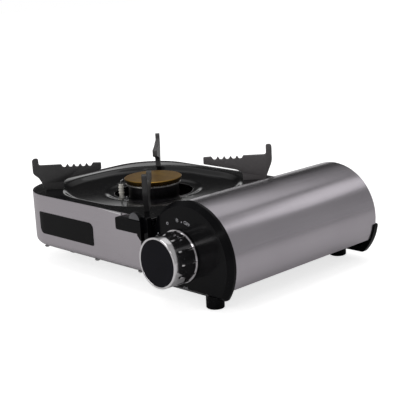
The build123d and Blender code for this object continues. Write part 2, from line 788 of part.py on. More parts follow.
def make_front_bulkhead():
    """Plate that carries the governor, the valve and the igniter."""
    y0, y1 = y_bulkhead, y_cover
    plate = bay_bulkhead(y0)
    plate -= rod_y(knob_x, knob_z, spindle_radius + 1.0, y0 - 1, y1 + 1)
    plate -= block(igniter_x0, igniter_x1, y0 - 1, y1 + 1, z_carriage, igniter_z1)
    for hole in governor_screw_holes(y0 - 1, y1 + 1):
        plate -= hole
    return plate


def make_rear_bulkhead():
    """Plate across the back of the bay."""
    return bay_bulkhead(y_rear_bulkhead)


def make_heat_partition():
    """Wall between the burner and the canister, joggled clear of the open lid, flanged under the deck."""
    top = deck_z - deck_sheet
    joggle = bay_z + 6.0
    points = [(x_partition + tray_sheet, z_floor), (x_partition + tray_sheet, joggle),
              (x_partition, joggle + 3.0), (x_partition, top), (x_box - 14.0, top)]
    wall = prism_y(folded_sheet(points, tray_sheet), y_box + 41.0, y_lid_back - 0.2)
    wall -= block(x_box - 15.0, x_wall, y_box_back - 2.0, y_rear, top - 2, top + 1)
    wall -= block(x_box - 1, x_box + 3, conductor_y - 13, conductor_y + 13,
                  conductor_z - conductor_sheet - 0.5, conductor_z + 0.5)
    return wall


conductor_y = burner_y + 26.0
conductor_sheet = 1.5
conductor_z = z_cup
strap_screw_x = burner_x + 2.0
strap_screw_y = burner_y + 21.0
conductor_x = bay_x - canister_radius - 2.0


def make_heat_conductor():
    """Aluminium strap that carries a little burner heat to the canister's side."""
    points = [(burner_x - 4.0, conductor_z), (conductor_x, conductor_z), (conductor_x, conductor_z - 34.0)]
    section = folded_sheet(points[::-1], conductor_sheet)
    strap = prism_y(section, conductor_y - 11.0, conductor_y + 11.0)
    return strap - rod_z(strap_screw_x, strap_screw_y, screw_radius + slot_gap, 0, deck_z)


# ---------------------------------------------------------------- end caps
def cap_face(radius, flat):
    """An end cap's outline: a circle with a flat underside and rounded corners."""
    circle = Pos(bay_x, bay_z) * Circle(radius)
    keep = Pos(bay_x, flat + 100.0) * Rectangle(400.0, 200.0)
    face = circle & keep
    return fillet(face.vertices(), cap_corner)


def cap_foot(x, y, flat, root_y0, root_y1):
    """Round foot moulded under an end cap, rooted in the cap's rim."""
    top = z_tray - 0.2
    foot = Pos(x, y, top / 2) * Cone(cap_foot_radius - cap_foot_taper, cap_foot_radius, top)
    foot = fillet(foot.edges().sort_by(Axis.Z)[0], 0.8)
    root = rod_z(x, y, cap_foot_radius, 1.0, flat + 1.5)
    return foot + (root & block(x - 20, x + 20, root_y0, root_y1, 0, 40))


lever_neck_z0 = lever_bottom + 3.0
lever_neck_z1 = lever_neck_z0 + lever_neck_height
lever_slot_bottom = lever_neck_z0 - lever_travel - 0.5
lever_neck_x0 = boss_left + 6.5
lever_neck_x1 = lever_neck_x0 + lever_neck_width


def make_front_cap():
    """Black moulded end cap: control panel, lever housing, foot, screw bosses and hinge boss."""
    front = prism_y(cap_face(cap_radius, cap_underside), y_panel, y_lid_front)
    rim_edge = front.edges().group_by(Axis.Y)[0].filter_by(GeomType.CIRCLE)
    front = chamfer(rim_edge, cap_bevel * 1.2, cap_bevel)
    hollow = prism_y(cap_face(cap_radius - cap_rim, cap_underside + cap_rim), y_panel_back, y_lid_front + 1)
    front -= hollow
    clear_z = deck_z - 4.5
    front -= block(x_left, x_partition + 8.0, y_panel_back, y_lid_front + 1, 0, clear_z)
    wing = block(boss_left, boss_right, y_box + 1.0, y_panel_back, z_floor + 0.5, deck_z - deck_skirt - 2.0)
    boss = block(boss_left, boss_right, y_box - boss_proud, y_box + 0.8, boss_bottom, boss_top)
    boss = chamfer(boss.edges().filter_by(Axis.Y).sort_by(lambda e: e.center().X + e.center().Z)[0], 5.0)
    boss = fillet(boss.edges().filter_by(Axis.Y).sort_by(lambda e: e.center().Z)[-2:], 1.5)
    wing_link = block(boss_left, boss_right, y_box + 0.5, y_box + 1.2, boss_bottom, deck_z - deck_skirt - 2.0)
    cap = front + wing + boss + wing_link
    cap += cap_foot(bay_x + front_foot_right_of_bay, y_panel + front_foot_behind_panel, cap_underside,
                    y_panel + 4.0, y_lid_front)
    for x, z in cap_screw_places:
        cap += rod_y(x, z, 4.0, y_panel_back, y_bulkhead)
    cap += rod_y(hinge_x, hinge_z, hinge_ear_radius, y_panel_back, y_lid_front)
    cap -= rod_y(hinge_x, hinge_z, hinge_pin_radius, y_panel_back + 0.5, y_lid_front + 1)
    cap -= rod_y(knob_x, knob_z, spindle_radius + 0.5, y_panel - 1, y_panel_back + 1)
    cap -= block(lever_neck_x0 - slide_gap, lever_neck_x1 + slide_gap, y_box - 20, y_panel_back + 2,
                 lever_slot_bottom, lever_neck_z1 + slide_gap)
    for x, z in cap_screw_places:
        cap -= rod_y(x, z, screw_radius + slot_gap, y_panel_back + 1, y_bulkhead + 1)
    return cap


def turned_round_bay(profile, start, end):
    """A profile of (radius, y) points turned round the bay's axis between two angles in degrees."""
    face = Pos(bay_x, 0, bay_z) * Rot(0, -end, 0) * polygon(*profile)
    return revolve(face, Axis((bay_x, 0, bay_z), (0, 1, 0)), end - start)


def make_rear_cap():
    """Black moulded end cap at the back, stepped down where the lid's skin laps over it."""
    cap = prism_y(cap_face(cap_radius, rear_underside), y_lid_back, y_rear)
    rim_edge = cap.edges().group_by(Axis.Y)[-1].filter_by(GeomType.CIRCLE)
    cap = chamfer(rim_edge, cap_bevel * 0.6, cap_bevel * 0.6)
    cap -= turned_round_bay([
        (rear_step_radius, y_lid_back - 1), (cap_radius + 2, y_lid_back - 1), (cap_radius + 2, y_rear + 1),
        (rear_step_radius - 4.0, y_rear + 1), (rear_step_radius, y_rear - 3.0),
    ], lid_lap_start - 1.0, lid_lap_end + 13.0)
    cap -= prism_y(cap_face(rear_step_radius - cap_rim, z_tray + 0.5), y_lid_back - 1, y_rear - cap_panel)
    cap += cap_foot(bay_x + rear_foot_right_of_bay, y_rear - rear_foot_before_back, rear_underside,
                    y_lid_back, y_rear)
    for x, z in cap_screw_places:
        cap += rod_y(x, z, 4.0, y_rear_bulkhead + bracket_sheet, y_rear - cap_panel)
        cap -= rod_y(x, z, screw_radius + slot_gap, y_rear_bulkhead, y_rear - cap_panel - 1)
    cap += rod_y(hinge_x, hinge_z, hinge_ear_radius, y_lid_back, y_rear - cap_panel)
    cap -= rod_y(hinge_x, hinge_z, hinge_pin_radius, y_lid_back - 1, y_rear - cap_panel - 0.5)
    return cap


def make_cap_screws():
    """Screws from inside the bay into the bosses of both end caps."""
    screws = []
    for x, z in cap_screw_places:
        screws.append(Pos(x, y_cover, z) * Rot(90, 0, 0) * screw(6.5))
        screws.append(Pos(x, y_rear_bulkhead, z) * Rot(-90, 0, 0) * screw(6.5))
    return Compound(screws)


def make_hinge_pins():
    """Two steel pins pressed into the end caps, on which the lid turns."""
    front = rod_y(hinge_x, hinge_z, hinge_pin_radius, y_panel_back + 0.5, y_lid_front + 2.6)
    back = rod_y(hinge_x, hinge_z, hinge_pin_radius, y_lid_back - 2.6, y_rear - cap_panel - 0.5)
    return Compound([front, back])


def make_lid_buffers():
    """Rubber buffers on the tray's lip, under the lid's hem."""
    buffers = []
    x0 = tray_lip_x
    for y in (y_lid_front + 40.0, y_lid_back - 40.0):
        buffers.append(block(x0, x0 + 1.6, y - 7.0, y + 7.0, tray_lip_z + 2.0, tray_lip_top))
    return Compound(buffers)


# ---------------------------------------------------------------- lid
def lid_arc(outer, inner, start, end):
    """A stretch of ring round the bay's axis."""
    ring = (Circle(outer) - Circle(inner)) & sector(outer, start, end)
    return Pos(bay_x, bay_z) * ring


def make_lid_shell():
    """Rolled stainless lid with end flanges, hinge ears and a hem along its free edge."""
    y0, y1 = y_lid_front + slide_gap, y_lid_back - slide_gap
    lid = prism_y(lid_arc(lid_radius, lid_inner_radius, lid_front_angle, lid_back_angle), y0, y1)
    flange = lid_arc(lid_radius, lid_inner_radius - lid_flange, lid_front_angle, lid_back_angle - 6.0)
    ear = (Pos(hinge_x, hinge_z) * Circle(hinge_ear_radius)) & (Pos(bay_x, bay_z) * Circle(lid_radius))
    end = flange + ear - Pos(hinge_x, hinge_z) * Circle(hinge_pin_radius + running_gap)
    lid += prism_y(end, y0, y0 + lid_sheet)
    lid += prism_y(end, y1 - lid_sheet, y1)
    hem = lid_arc(lid_radius, lid_inner_radius - lid_hem, lid_front_angle, lid_front_angle + 0.8)
    lap = turned_round_bay([
        (lid_radius, y1 - 0.4), (lid_radius, y1 + lid_lap * 0.6),
        (lid_radius - lid_lap_drop * 0.35, y1 + lid_lap * 0.88), (lid_radius - lid_lap_drop, y1 + lid_lap),
        (lid_inner_radius - lid_lap_drop + 0.3, y1 + lid_lap - 0.6),
        (lid_inner_radius - lid_lap_drop * 0.3, y1 + lid_lap * 0.8),
        (lid_inner_radius, y1 + lid_lap * 0.6 - 0.3), (lid_inner_radius, y1 - 0.4),
    ], lid_lap_start, lid_lap_end)
    return lid + prism_y(hem, y0, y1) + lap


# ---------------------------------------------------------------- governor, valve and canister seat
housing_radius = 8.0
housing_depth = 3.2


def make_governor_cover():
    """Front half of the pressure governor, over its spring."""
    cover = rod_y(bay_x, bay_z, governor_radius, y_cover, y_diaphragm)
    cover -= rod_y(bay_x, bay_z, governor_radius - 9.0, y_cover + 2.0, y_diaphragm + 1)
    for hole in governor_screw_holes(y_cover - 1, y_diaphragm + 1):
        cover -= hole
    return cover


def make_governor_diaphragm():
    """Rubber diaphragm clamped between the governor's halves."""
    disc = rod_y(bay_x, bay_z, governor_radius, y_diaphragm, y_governor)
    for hole in governor_screw_holes(y_diaphragm - 1, y_governor + 1):
        disc -= hole
    return disc


def make_governor_body():
    """Rear half of the governor, with the gas outlet on its left."""
    body = rod_y(bay_x, bay_z, governor_radius, y_governor, y_seat)
    outlet_x = bay_x - governor_radius - 0.5
    body += rod_x(outlet_y, z_mixer, 5.0, outlet_x, bay_x - 4.0)
    body -= rod_x(outlet_y, z_mixer, 1.5, outlet_x - 1, bay_x)
    body -= rod_y(bay_x, bay_z, governor_radius - 9.0, y_governor - 1, y_governor + 3.0)
    for hole in governor_screw_holes(y_governor - 1, y_seat - 3.0):
        body -= hole
    return body


def make_governor_spring():
    """Coil spring that loads the diaphragm."""
    coil_radius, wire = 7.0, 0.7
    y0 = y_cover + 2.0 + wire
    length = y_diaphragm - y0 - wire
    turns = 4
    plane = Plane(origin=(bay_x, y0, bay_z), x_dir=(1, 0, 0), z_dir=(0, 1, 0))
    path = plane * Helix(length / turns, length, coil_radius)
    start = path @ 0
    section = Plane(origin=start, z_dir=path % 0) * Circle(wire)
    return sweep(section, path, is_frenet=True)


def make_governor_screws():
    """Four screws that clamp the governor to its plate."""
    screws = []
    for angle in governor_screw_angles:
        a = radians(angle)
        x, z = bay_x + governor_screw_reach * cos(a), bay_z + governor_screw_reach * sin(a)
        length = y_seat - 4.0 - y_bulkhead
        screws.append(Pos(x, y_bulkhead, z) * Rot(-90, 0, 0) * screw(length))
    return Compound(screws)


def make_can_seat():
    """Collar that the canister's neck is pressed into, with a locating key at its top."""
    seat = ring_y(bay_x, bay_z, seat_radius, seat_radius - 3.5, y_seat, y_seat_face)
    seat += ring_y(bay_x, bay_z, seat_radius - 2, 3.2, y_seat, y_seat + 2.0)
    key = block(bay_x - 2.5, bay_x + 2.5, y_seat + 1.0, y_seat_face, bay_z + seat_radius - 5.5,
                bay_z + seat_radius - 3.0)
    return seat + key


def make_can_seal():
    """Rubber ring that seals on the canister's valve."""
    return ring_y(bay_x, bay_z, 6.5, 2.4, y_seat + 2.0, y_seat + 4.0)


def make_can_probe():
    """Hollow brass pin that opens the canister's valve."""
    return ring_y(bay_x, bay_z, 2.2, 0.8, y_seat, y_seat + 6.0)


def make_valve_housing():
    """Brass housing that guides the spindle through the panel."""
    housing = rod_y(knob_x, knob_z, housing_radius, y_bulkhead - housing_depth, y_bulkhead)
    housing += rod_y(knob_x, knob_z, 4.6, y_panel_back + 0.4 + cam_thickness + 0.6, y_bulkhead)
    return housing - rod_y(knob_x, knob_z, spindle_radius + running_gap, y_panel, y_cover)


y_cam = y_panel_back + 0.4


def cam_outline():
    """Spiral cam: its radius under the knob's centre grows evenly as the knob turns."""
    steps = 22
    points = []
    for i in range(steps + 1):
        turn = knob_travel * i / steps
        radius = cam_radius + cam_lift * i / steps
        a = radians(-90.0 - turn)
        points.append((radius * cos(a), radius * sin(a)))
    fall = 12
    for i in range(1, fall):
        share = i / fall
        a = radians(-90.0 - knob_travel - (360.0 - knob_travel) * share)
        radius = cam_radius + cam_lift * max(0.0, 1.0 - 3.0 * share)
        points.append((radius * cos(a), radius * sin(a)))
    return polygon(*points)


def make_ignition_cam():
    """Cam on the spindle that pushes the igniter's plunger."""
    face = Pos(knob_x, knob_z) * (cam_outline() - Circle(spindle_radius))
    return prism_y(face, y_cam, y_cam + cam_thickness)


def make_valve_spindle():
    """Steel spindle, turned by the knob."""
    return rod_y(knob_x, knob_z, spindle_radius, y_knob + 5.0, y_bulkhead + 0.4)


# ---------------------------------------------------------------- knob
y_knob_back = y_panel - knob_panel_gap - knob_flange_depth


def make_knob_shell():
    """Chromed knob: a ribbed cup with a ring round its face and a hub inside."""
    shell = rod_y(knob_x, knob_z, knob_radius, y_knob, y_knob_back)
    shell = fillet(shell.edges().group_by(Axis.Y)[0], 0.9)
    shell -= rod_y(knob_x, knob_z, knob_radius - knob_wall, y_knob + 4.0, y_knob_back + 1)
    shell -= rod_y(knob_x, knob_z, knob_radius - knob_face_ring, y_knob - 1, y_knob + 2.0)
    shell += rod_y(knob_x, knob_z, 7.0, y_knob + 3.0, y_knob_back)
    rib_start = y_knob + 11.0
    for i in range(knob_ribs):
        turn = Pos(knob_x, 0, knob_z) * Rot(0, 360 / knob_ribs * i, 0)
        shell += turn * block(-knob_rib_width / 2, knob_rib_width / 2, rib_start, y_knob_back,
                              knob_radius - 1, knob_radius + knob_rib_height)
    return shell - rod_y(knob_x, knob_z, spindle_radius, y_knob + 5.0, y_knob_back + 1)


def make_knob_insert():
    """Black disc let into the knob's face."""
    return rod_y(knob_x, knob_z, knob_radius - knob_face_ring - slot_gap, y_knob + 0.3, y_knob + 2.0)


def make_knob_flange():
    """Thin chromed ring at the knob's base."""
    outer = knob_flange_radius
    return ring_y(knob_x, knob_z, outer, knob_radius - knob_wall, y_knob_back, y_panel - knob_panel_gap)


# ---------------------------------------------------------------- igniter
plunger_top = knob_z - cam_radius - slide_gap
plunger_half_x, plunger_half_y = 2.5, 1.8
plunger_y = y_cam + cam_thickness + 0.8
plunger_bottom = igniter_z0 + 1.2 + cam_lift + 0.5


def make_igniter_body():
    """Piezo igniter block, snapped into a window of the front plate."""
    body = block(igniter_x0, igniter_x1, y_panel_back + 0.3, y_governor, igniter_z0, igniter_z1)
    return body - block(knob_x - plunger_half_x - 0.1, knob_x + plunger_half_x + 0.1,
                        plunger_y - plunger_half_y - 0.1, plunger_y + plunger_half_y + 0.1,
                        plunger_bottom - cam_lift - 0.5, igniter_z1 + 1)


def make_igniter_plunger():
    """Plunger that the cam pushes down."""
    return block(knob_x - plunger_half_x, knob_x + plunger_half_x, plunger_y - plunger_half_y,
                 plunger_y + plunger_half_y, plunger_bottom, plunger_top)


lead_radius = 1.4


def make_ignition_lead():
    """High-voltage lead from the igniter, through the box, to the electrode."""
    end = electrode_place(electrode_reach) + Vector(0, 0, z_insulator - 3.0)
    low = z_floor + 14.0
    y_pass = y_box + 35.0
    points = [
        Vector(igniter_x0, y_governor - 5.0, igniter_z0 + 7.0),
        Vector(igniter_x0 - 10.0, y_governor - 5.0, igniter_z0 + 7.0),
        Vector(x_box + 14.0, y_pass, bay_z - 3.0),
        Vector(x_box - 14.0, y_pass, bay_z - 3.0),
        Vector(burner_x + 60.0, y_pass + 4.0, low),
        Vector(end.X + 10.0, end.Y - 30.0, low),
        Vector(end.X, end.Y, low),
        end,
    ]
    path = FilletPolyline(*points, radius=[3.5, 8.0, 8.0, 12.0, 12.0, 9.0])
    plane = Plane(origin=points[0], z_dir=(-1, 0, 0))
    return sweep(plane * Circle(lead_radius), path)


# ---------------------------------------------------------------- lock lever
y_lever = y_panel - lever_proud - 4.0
y_lever_back = y_lever + lever_thickness
y_boss_face = y_box - boss_proud
y_neck_end = y_panel + 12.0
cam_plate_x = lever_neck_x1
pin_y = y_panel + 21.0
pin_z = lever_neck_z0 - carriage_pin_below_neck
lever_peg_radius = 1.3
lever_peg_ys = (y_panel_back + 2.6, y_panel_back + 6.6)


def make_lock_lever():
    """Black handle outside the panel, with a thumb tab and a neck that goes in through the slot."""
    left = block(lever_left, boss_left - slide_gap, y_lever, y_lever_back, lever_bottom, lever_top)
    right = block(boss_left - slide_gap - 0.5, lever_right, y_lever, y_boss_face - slide_gap,
                  lever_bottom, lever_top)
    handle = left + right
    handle = fillet(handle.edges().filter_by(Axis.Y).sort_by(Axis.X)[:2], 2.5)
    thumb_x = lever_right - 10.2
    thumb = Pos(thumb_x, lever_top) * Circle(thumb_radius)
    thumb = thumb & Pos(thumb_x, lever_top + thumb_radius / 2 - 1.0) * Rectangle(
        2 * thumb_radius, thumb_radius + 2.0)
    handle += prism_y(thumb, y_lever + 0.6, y_boss_face - slide_gap)
    handle += block(lever_neck_x0, lever_neck_x1, y_boss_face - slide_gap - 0.5, y_neck_end,
                    lever_neck_z0, lever_neck_z1)
    for y in lever_peg_ys:
        z = lever_neck_z0 + lever_neck_height / 2
        handle += rod_x(y, z, lever_peg_radius, lever_neck_x1, cam_plate_x + bracket_sheet)
        handle += rod_x(y, z, lever_peg_radius + 0.6, cam_plate_x + bracket_sheet,
                        cam_plate_x + bracket_sheet + 0.8)
    return handle


def make_lever_cam_plate():
    """Steel plate on the neck's inner end, with the slanting slot that drives the carriage."""
    y0, y1 = y_panel_back + 0.6, pin_y + 6.0
    z0, z1 = pin_z - 8.0, lever_neck_z1
    face = Pos((y0 + y1) / 2, (z0 + z1) / 2) * Rectangle(y1 - y0, z1 - z0)
    width = carriage_pin_radius + 0.1
    run = Vector(-carriage_travel, lever_travel)
    centre = Pos(pin_y + run.X / 2, pin_z + run.Y / 2)
    slot = centre * Rot(0, 0, degrees(atan2(run.Y, run.X))) * SlotCenterToCenter(run.length, 2 * width)
    plate = prism_x(face - slot, cam_plate_x, cam_plate_x + bracket_sheet)
    for y in lever_peg_ys:
        z = lever_neck_z0 + lever_neck_height / 2
        plate -= rod_x(y, z, lever_peg_radius, cam_plate_x - 1, cam_plate_x + 3)
    return plate


# ---------------------------------------------------------------- carriage
arm_x = x_partition + 2.7
arm_y0, arm_y1 = pin_y - 3.5, pin_y + 3.5


def make_carriage():
    """Sliding plate under the canister, with a pusher at the back and a drive arm at the front."""
    x0, x1 = bay_x - carriage_width / 2, bay_x + carriage_width / 2
    plate = block(x0, x1, y_seat, y_pusher + carriage_sheet, z_carriage, z_carriage_top)
    plate += block(x0, x0 + 12.0, arm_y0, y_seat + 1, z_carriage, z_carriage_top)
    plate += block(arm_x, x0 + 12.0, arm_y0, arm_y1 + 1.0, z_carriage, z_carriage_top)
    plate += block(arm_x, arm_x + carriage_sheet, arm_y0, arm_y1, z_carriage, pin_z + 4.0)
    plate += block(bay_x - 21.0, bay_x + 21.0, y_pusher, y_pusher + carriage_sheet, z_carriage, bay_z + 6.0)
    return plate - rod_x(pin_y, pin_z, carriage_pin_radius + running_gap, arm_x - 1, arm_x + 4)


def make_carriage_pin():
    """Headed pin that runs in the lever plate's slot."""
    pin = rod_x(pin_y, pin_z, carriage_pin_radius, cam_plate_x - 0.5, arm_x + carriage_sheet)
    return pin + rod_x(pin_y, pin_z, 3.2, arm_x + carriage_sheet, arm_x + carriage_sheet + 1.2)


def make_carriage_rails():
    """Two plastic rails that the canister lies on."""
    rails = []
    offset, half = 16.0, 1.5
    drop = sqrt(canister_radius**2 - (offset - half)**2)
    top = bay_z - drop
    for side in (-1, 1):
        x = bay_x + side * offset
        rails.append(block(x - half, x + half, y_seat + 20.0, y_pusher - 10.0, z_carriage_top, top - 0.1))
    return Compound(rails)


# ---------------------------------------------------------------- write one STEP for each piece
pieces = {
    "body_shell": make_body_shell,
    "bottom_plate": make_bottom_plate,
    "bottom_screws": make_bottom_screws,
    "top_deck": make_top_deck,
    "deck_brackets": make_deck_brackets,
    "name_plate": make_name_plate,
    "box_feet": make_box_feet,
    "foot_screws": make_foot_screws,
    "burner_body": make_burner_body,
    "burner_ring": make_burner_ring,
    "burner_cap": make_burner_cap,
    "burner_bracket": make_burner_bracket,
    "burner_screws": make_burner_screws,
    "mixing_tube": make_mixing_tube,
    "gas_jet": make_gas_jet,
    "jet_holder": make_jet_holder,
    "gas_tube": make_gas_tube,
    "tube_nut": make_tube_nut,
    "electrode_insulator": make_electrode_insulator,
    "electrode_wire": make_electrode_wire,
    "electrode_clip": make_electrode_clip,
    "ignition_lead": make_ignition_lead,
    "igniter_body": make_igniter_body,
    "igniter_plunger": make_igniter_plunger,
    "support_keepers": make_support_keepers,
    "can_tray": make_can_tray,
    "front_bulkhead": make_front_bulkhead,
    "rear_bulkhead": make_rear_bulkhead,
    "heat_partition": make_heat_partition,
    "heat_conductor": make_heat_conductor,
    "front_cap": make_front_cap,
    "rear_cap": make_rear_cap,
    "cap_screws": make_cap_screws,
    "hinge_pins": make_hinge_pins,
    "lid_buffers": make_lid_buffers,
    "lid_shell": make_lid_shell,
    "governor_cover": make_governor_cover,
    "governor_diaphragm": make_governor_diaphragm,
    "governor_body": make_governor_body,
    "governor_spring": make_governor_spring,
    "governor_screws": make_governor_screws,
    "can_seat": make_can_seat,
    "can_seal": make_can_seal,
    "can_probe": make_can_probe,
    "valve_housing": make_valve_housing,
    "valve_spindle": make_valve_spindle,
    "ignition_cam": make_ignition_cam,
    "knob_shell": make_knob_shell,
    "knob_insert": make_knob_insert,
    "knob_flange": make_knob_flange,
    "lock_lever": make_lock_lever,
    "lever_cam_plate": make_lever_cam_plate,
    "carriage": make_carriage,
    "carriage_pin": make_carriage_pin,
    "carriage_rails": make_carriage_rails,
}

for angle in support_angles:
    pieces[f"pan_support_{support_names[angle]}"] = lambda angle=angle: make_support(angle)


def main():
    os.makedirs("parts", exist_ok=True)
    for name, make in pieces.items():
        export_step(make(), f"parts/{name}.step")


if __name__ == "__main__":
    main()
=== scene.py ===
# %% [markdown]
# # A cassette stove for the studio
# A cassette stove is a flat steel box with one gas burner, and beside it a round bay for a gas
# canister. This lesson dresses its finished CAD model: it keeps the pieces that already have
# the right shape, builds the others again as smooth surfaces, and gives each one the finish
# that the real maker gives it. The CAD model loads first, because every place is read from it.

# %% Load the CAD model as a fixed frame
import math

import bmesh
import bpy
import mathutils
import numpy as np
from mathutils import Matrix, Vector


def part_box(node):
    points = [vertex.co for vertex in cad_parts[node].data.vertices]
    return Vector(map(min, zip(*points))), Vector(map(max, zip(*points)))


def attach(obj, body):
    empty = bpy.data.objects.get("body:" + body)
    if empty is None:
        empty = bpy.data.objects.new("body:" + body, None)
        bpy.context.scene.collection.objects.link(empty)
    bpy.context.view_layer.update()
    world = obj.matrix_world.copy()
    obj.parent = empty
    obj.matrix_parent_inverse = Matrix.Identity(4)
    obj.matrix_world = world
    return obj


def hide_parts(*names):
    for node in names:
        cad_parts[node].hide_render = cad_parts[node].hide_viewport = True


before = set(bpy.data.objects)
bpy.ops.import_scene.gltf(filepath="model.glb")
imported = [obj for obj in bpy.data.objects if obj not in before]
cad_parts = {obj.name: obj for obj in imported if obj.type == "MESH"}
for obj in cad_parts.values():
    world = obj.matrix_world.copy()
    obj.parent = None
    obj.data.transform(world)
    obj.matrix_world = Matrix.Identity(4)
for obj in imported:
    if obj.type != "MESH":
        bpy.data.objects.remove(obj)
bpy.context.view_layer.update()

# %% [markdown]
# ## Working in millimetres
# The sizes of a stove are given in millimetres, and Blender's unit here is the metre. The
# shapes below are worked out in millimetres and made small once, when they become a mesh.
# Places come from the boxes of the CAD nodes, so nothing has to be fitted by eye.

# %% Places read from the frame
mm = 0.001


def box_mm(node):
    """Lowest and highest corner of a CAD node, in millimetres."""
    low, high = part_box(node)
    return np.array(low) / mm, np.array(high) / mm


deck_low, deck_high = box_mm("top_deck")
ring_low, ring_high = box_mm("burner_ring")
knob_low, knob_high = box_mm("knob_shell")
flange_back = box_mm("knob_flange")[1][1]
insert_low, insert_high = box_mm("knob_insert")

deck_z = deck_high[2]
burner = (ring_low[:2] + ring_high[:2]) / 2
knob_axis = (insert_low[[0, 2]] + insert_high[[0, 2]]) / 2
print("deck at", round(deck_z, 2), "burner at", burner.round(2), "knob axis at", knob_axis.round(2))

# %% [markdown]
# ## From colours and numbers to a finish
# Colours are picked as sRGB hex values, because that is how paint and plastic charts give
# them. Blender mixes light in linear values, so one function turns them over. A second small
# function adds a node to a material, with its settings and its links in one line.

# %% Helpers for materials
def linear(hex_value):
    """sRGB hex to linear RGBA: each channel is ((c + 0.055) / 1.055) ** 2.4, or c / 12.92."""
    channels = np.array([int(hex_value[i:i + 2], 16) for i in (1, 3, 5)]) / 255
    low = channels / 12.92
    high = ((channels + 0.055) / 1.055) ** 2.4
    return (*np.where(channels <= 0.04045, low, high), 1.0)


def add(tree, kind, inputs=None, **settings):
    """Adds one node. inputs gives a value, or another node's output, for each named socket."""
    made = tree.nodes.new(kind)
    for key, value in settings.items():
        setattr(made, key, value)
    for socket, value in (inputs or {}).items():
        if isinstance(value, bpy.types.NodeSocket):
            tree.links.new(value, made.inputs[socket])
        else:
            made.inputs[socket].default_value = value
    return made


def new_finish(name, **shader_values):
    """A material with one Principled shader; the keywords are its sockets, with _ for a space."""
    material = bpy.data.materials.new(name)
    material.use_nodes = True
    tree = material.node_tree
    tree.nodes.clear()
    values = {key.replace("_", " "): value for key, value in shader_values.items()}
    shader = add(tree, "ShaderNodeBsdfPrincipled", values)
    add(tree, "ShaderNodeOutputMaterial", {"Surface": shader.outputs["BSDF"]})
    return material, tree, shader


def pattern(tree, scale, detail=2.0, roughness=0.5, stretch=(1, 1, 1)):
    """Noise in object space. scale is in patterns per metre, stretch multiplies it by axis."""
    place = add(tree, "ShaderNodeTexCoord").outputs["Object"]
    mapped = add(tree, "ShaderNodeMapping", {"Vector": place, "Scale": stretch}).outputs["Vector"]
    noise = add(tree, "ShaderNodeTexNoise", {
        "Vector": mapped, "Scale": scale, "Detail": detail, "Roughness": roughness})
    return noise.outputs["Fac"]


def spread(tree, factor, low, high, start=0.3, end=0.7):
    """Stretches a noise from its usual middle range to low..high."""
    made = add(tree, "ShaderNodeMapRange", {
        "Value": factor, "From Min": start, "From Max": end, "To Min": low, "To Max": high})
    return made.outputs["Result"]


def tint(tree, factor, first, second):
    """A colour between two hex colours."""
    made = add(tree, "ShaderNodeMix", data_type="RGBA")
    tree.links.new(factor, made.inputs[0])
    made.inputs[6].default_value = linear(first)
    made.inputs[7].default_value = linear(second)
    return made.outputs[2]


def relief(tree, shader, height, depth, strength=1.0):
    """Bump of a real depth in metres."""
    bump = add(tree, "ShaderNodeBump", {"Height": height, "Distance": depth, "Strength": strength})
    tree.links.new(bump.outputs["Normal"], shader.inputs["Normal"])


finishes = {}

# %% [markdown]
# ## Stainless steel, brushed
# The wall of the box is stainless sheet, polished with an abrasive belt along its length. The
# belt leaves scratches a few hundredths of a millimetre apart, all level with the ground.
# They are too fine to draw, so a noise is stretched along X and Y and stands 0.5 mm apart in
# Z, as coarse as it needs to be to show. The lid's sheet is brushed along the bay, along Y,
# with its noise 0.9 mm apart.

# %% Stainless steel
cloud_pitch = 90.0
scratch_depth = 0.006


def brushed_steel(name, pitch, along, colour, light_colour, rough):
    """Brushed sheet: noise quick across the scratches and a hundred times slower along them."""
    material, tree, shader = new_finish(name, Metallic=1.0, Roughness=rough, Anisotropic=0.35)
    scratches = pattern(tree, 1 / (pitch * mm), 3.0, 0.6, along)
    clouds = pattern(tree, 1 / (cloud_pitch * mm), 2.0)
    shade = add(tree, "ShaderNodeMath", {0: scratches, 1: clouds}, operation="ADD").outputs[0]
    half = add(tree, "ShaderNodeMath", {0: shade, 1: 0.5}, operation="MULTIPLY").outputs[0]
    tree.links.new(tint(tree, spread(tree, half, 0, 1, 0.3, 0.7), colour, light_colour),
                   shader.inputs["Base Color"])
    tree.links.new(spread(tree, scratches, rough - 0.03, rough + 0.04), shader.inputs["Roughness"])
    relief(tree, shader, scratches, scratch_depth * mm, 0.3)
    return material


wall_steel = brushed_steel(
    "stainless_belt_brushed", 0.5, (0.01, 0.01, 1), "#aaa5aa", "#b4afb4", 0.30)
lid_steel = brushed_steel(
    "stainless_brushed_lengthwise", 0.9, (1, 0.01, 1), "#aaa5ab", "#b5b0b6", 0.22)
finishes["stainless"] = wall_steel
print("made", wall_steel.name, "and", lid_steel.name)

# %% [markdown]
# ## Vitreous enamel and heat-proof paint
# The deck is steel coated with black vitreous enamel, fired like a glaze. It is glass, so it
# mirrors the room at a low angle, and its surface waves a little, as an orange's skin does.
# The pan supports get a thinner, duller coat in four copies whose greys are painted light and
# shade: lighter at the back, darker at the front.

# %% Enamels
def enamel(name, colour, second, rough, wave_pitch, wave_depth):
    """A glassy coat: an even dark colour, slight waves wave_pitch apart, and few dust specks."""
    material, tree, shader = new_finish(name, Roughness=rough, IOR=1.5)
    waves = pattern(tree, 1 / (wave_pitch * mm), 1.0)
    specks = pattern(tree, 1 / (1.2 * mm), 2.0)
    tree.links.new(tint(tree, spread(tree, specks, 0, 1, 0.35, 0.75), colour, second),
                   shader.inputs["Base Color"])
    tree.links.new(spread(tree, waves, rough * 0.85, rough * 1.25), shader.inputs["Roughness"])
    relief(tree, shader, waves, wave_depth * mm, 0.5)
    return material


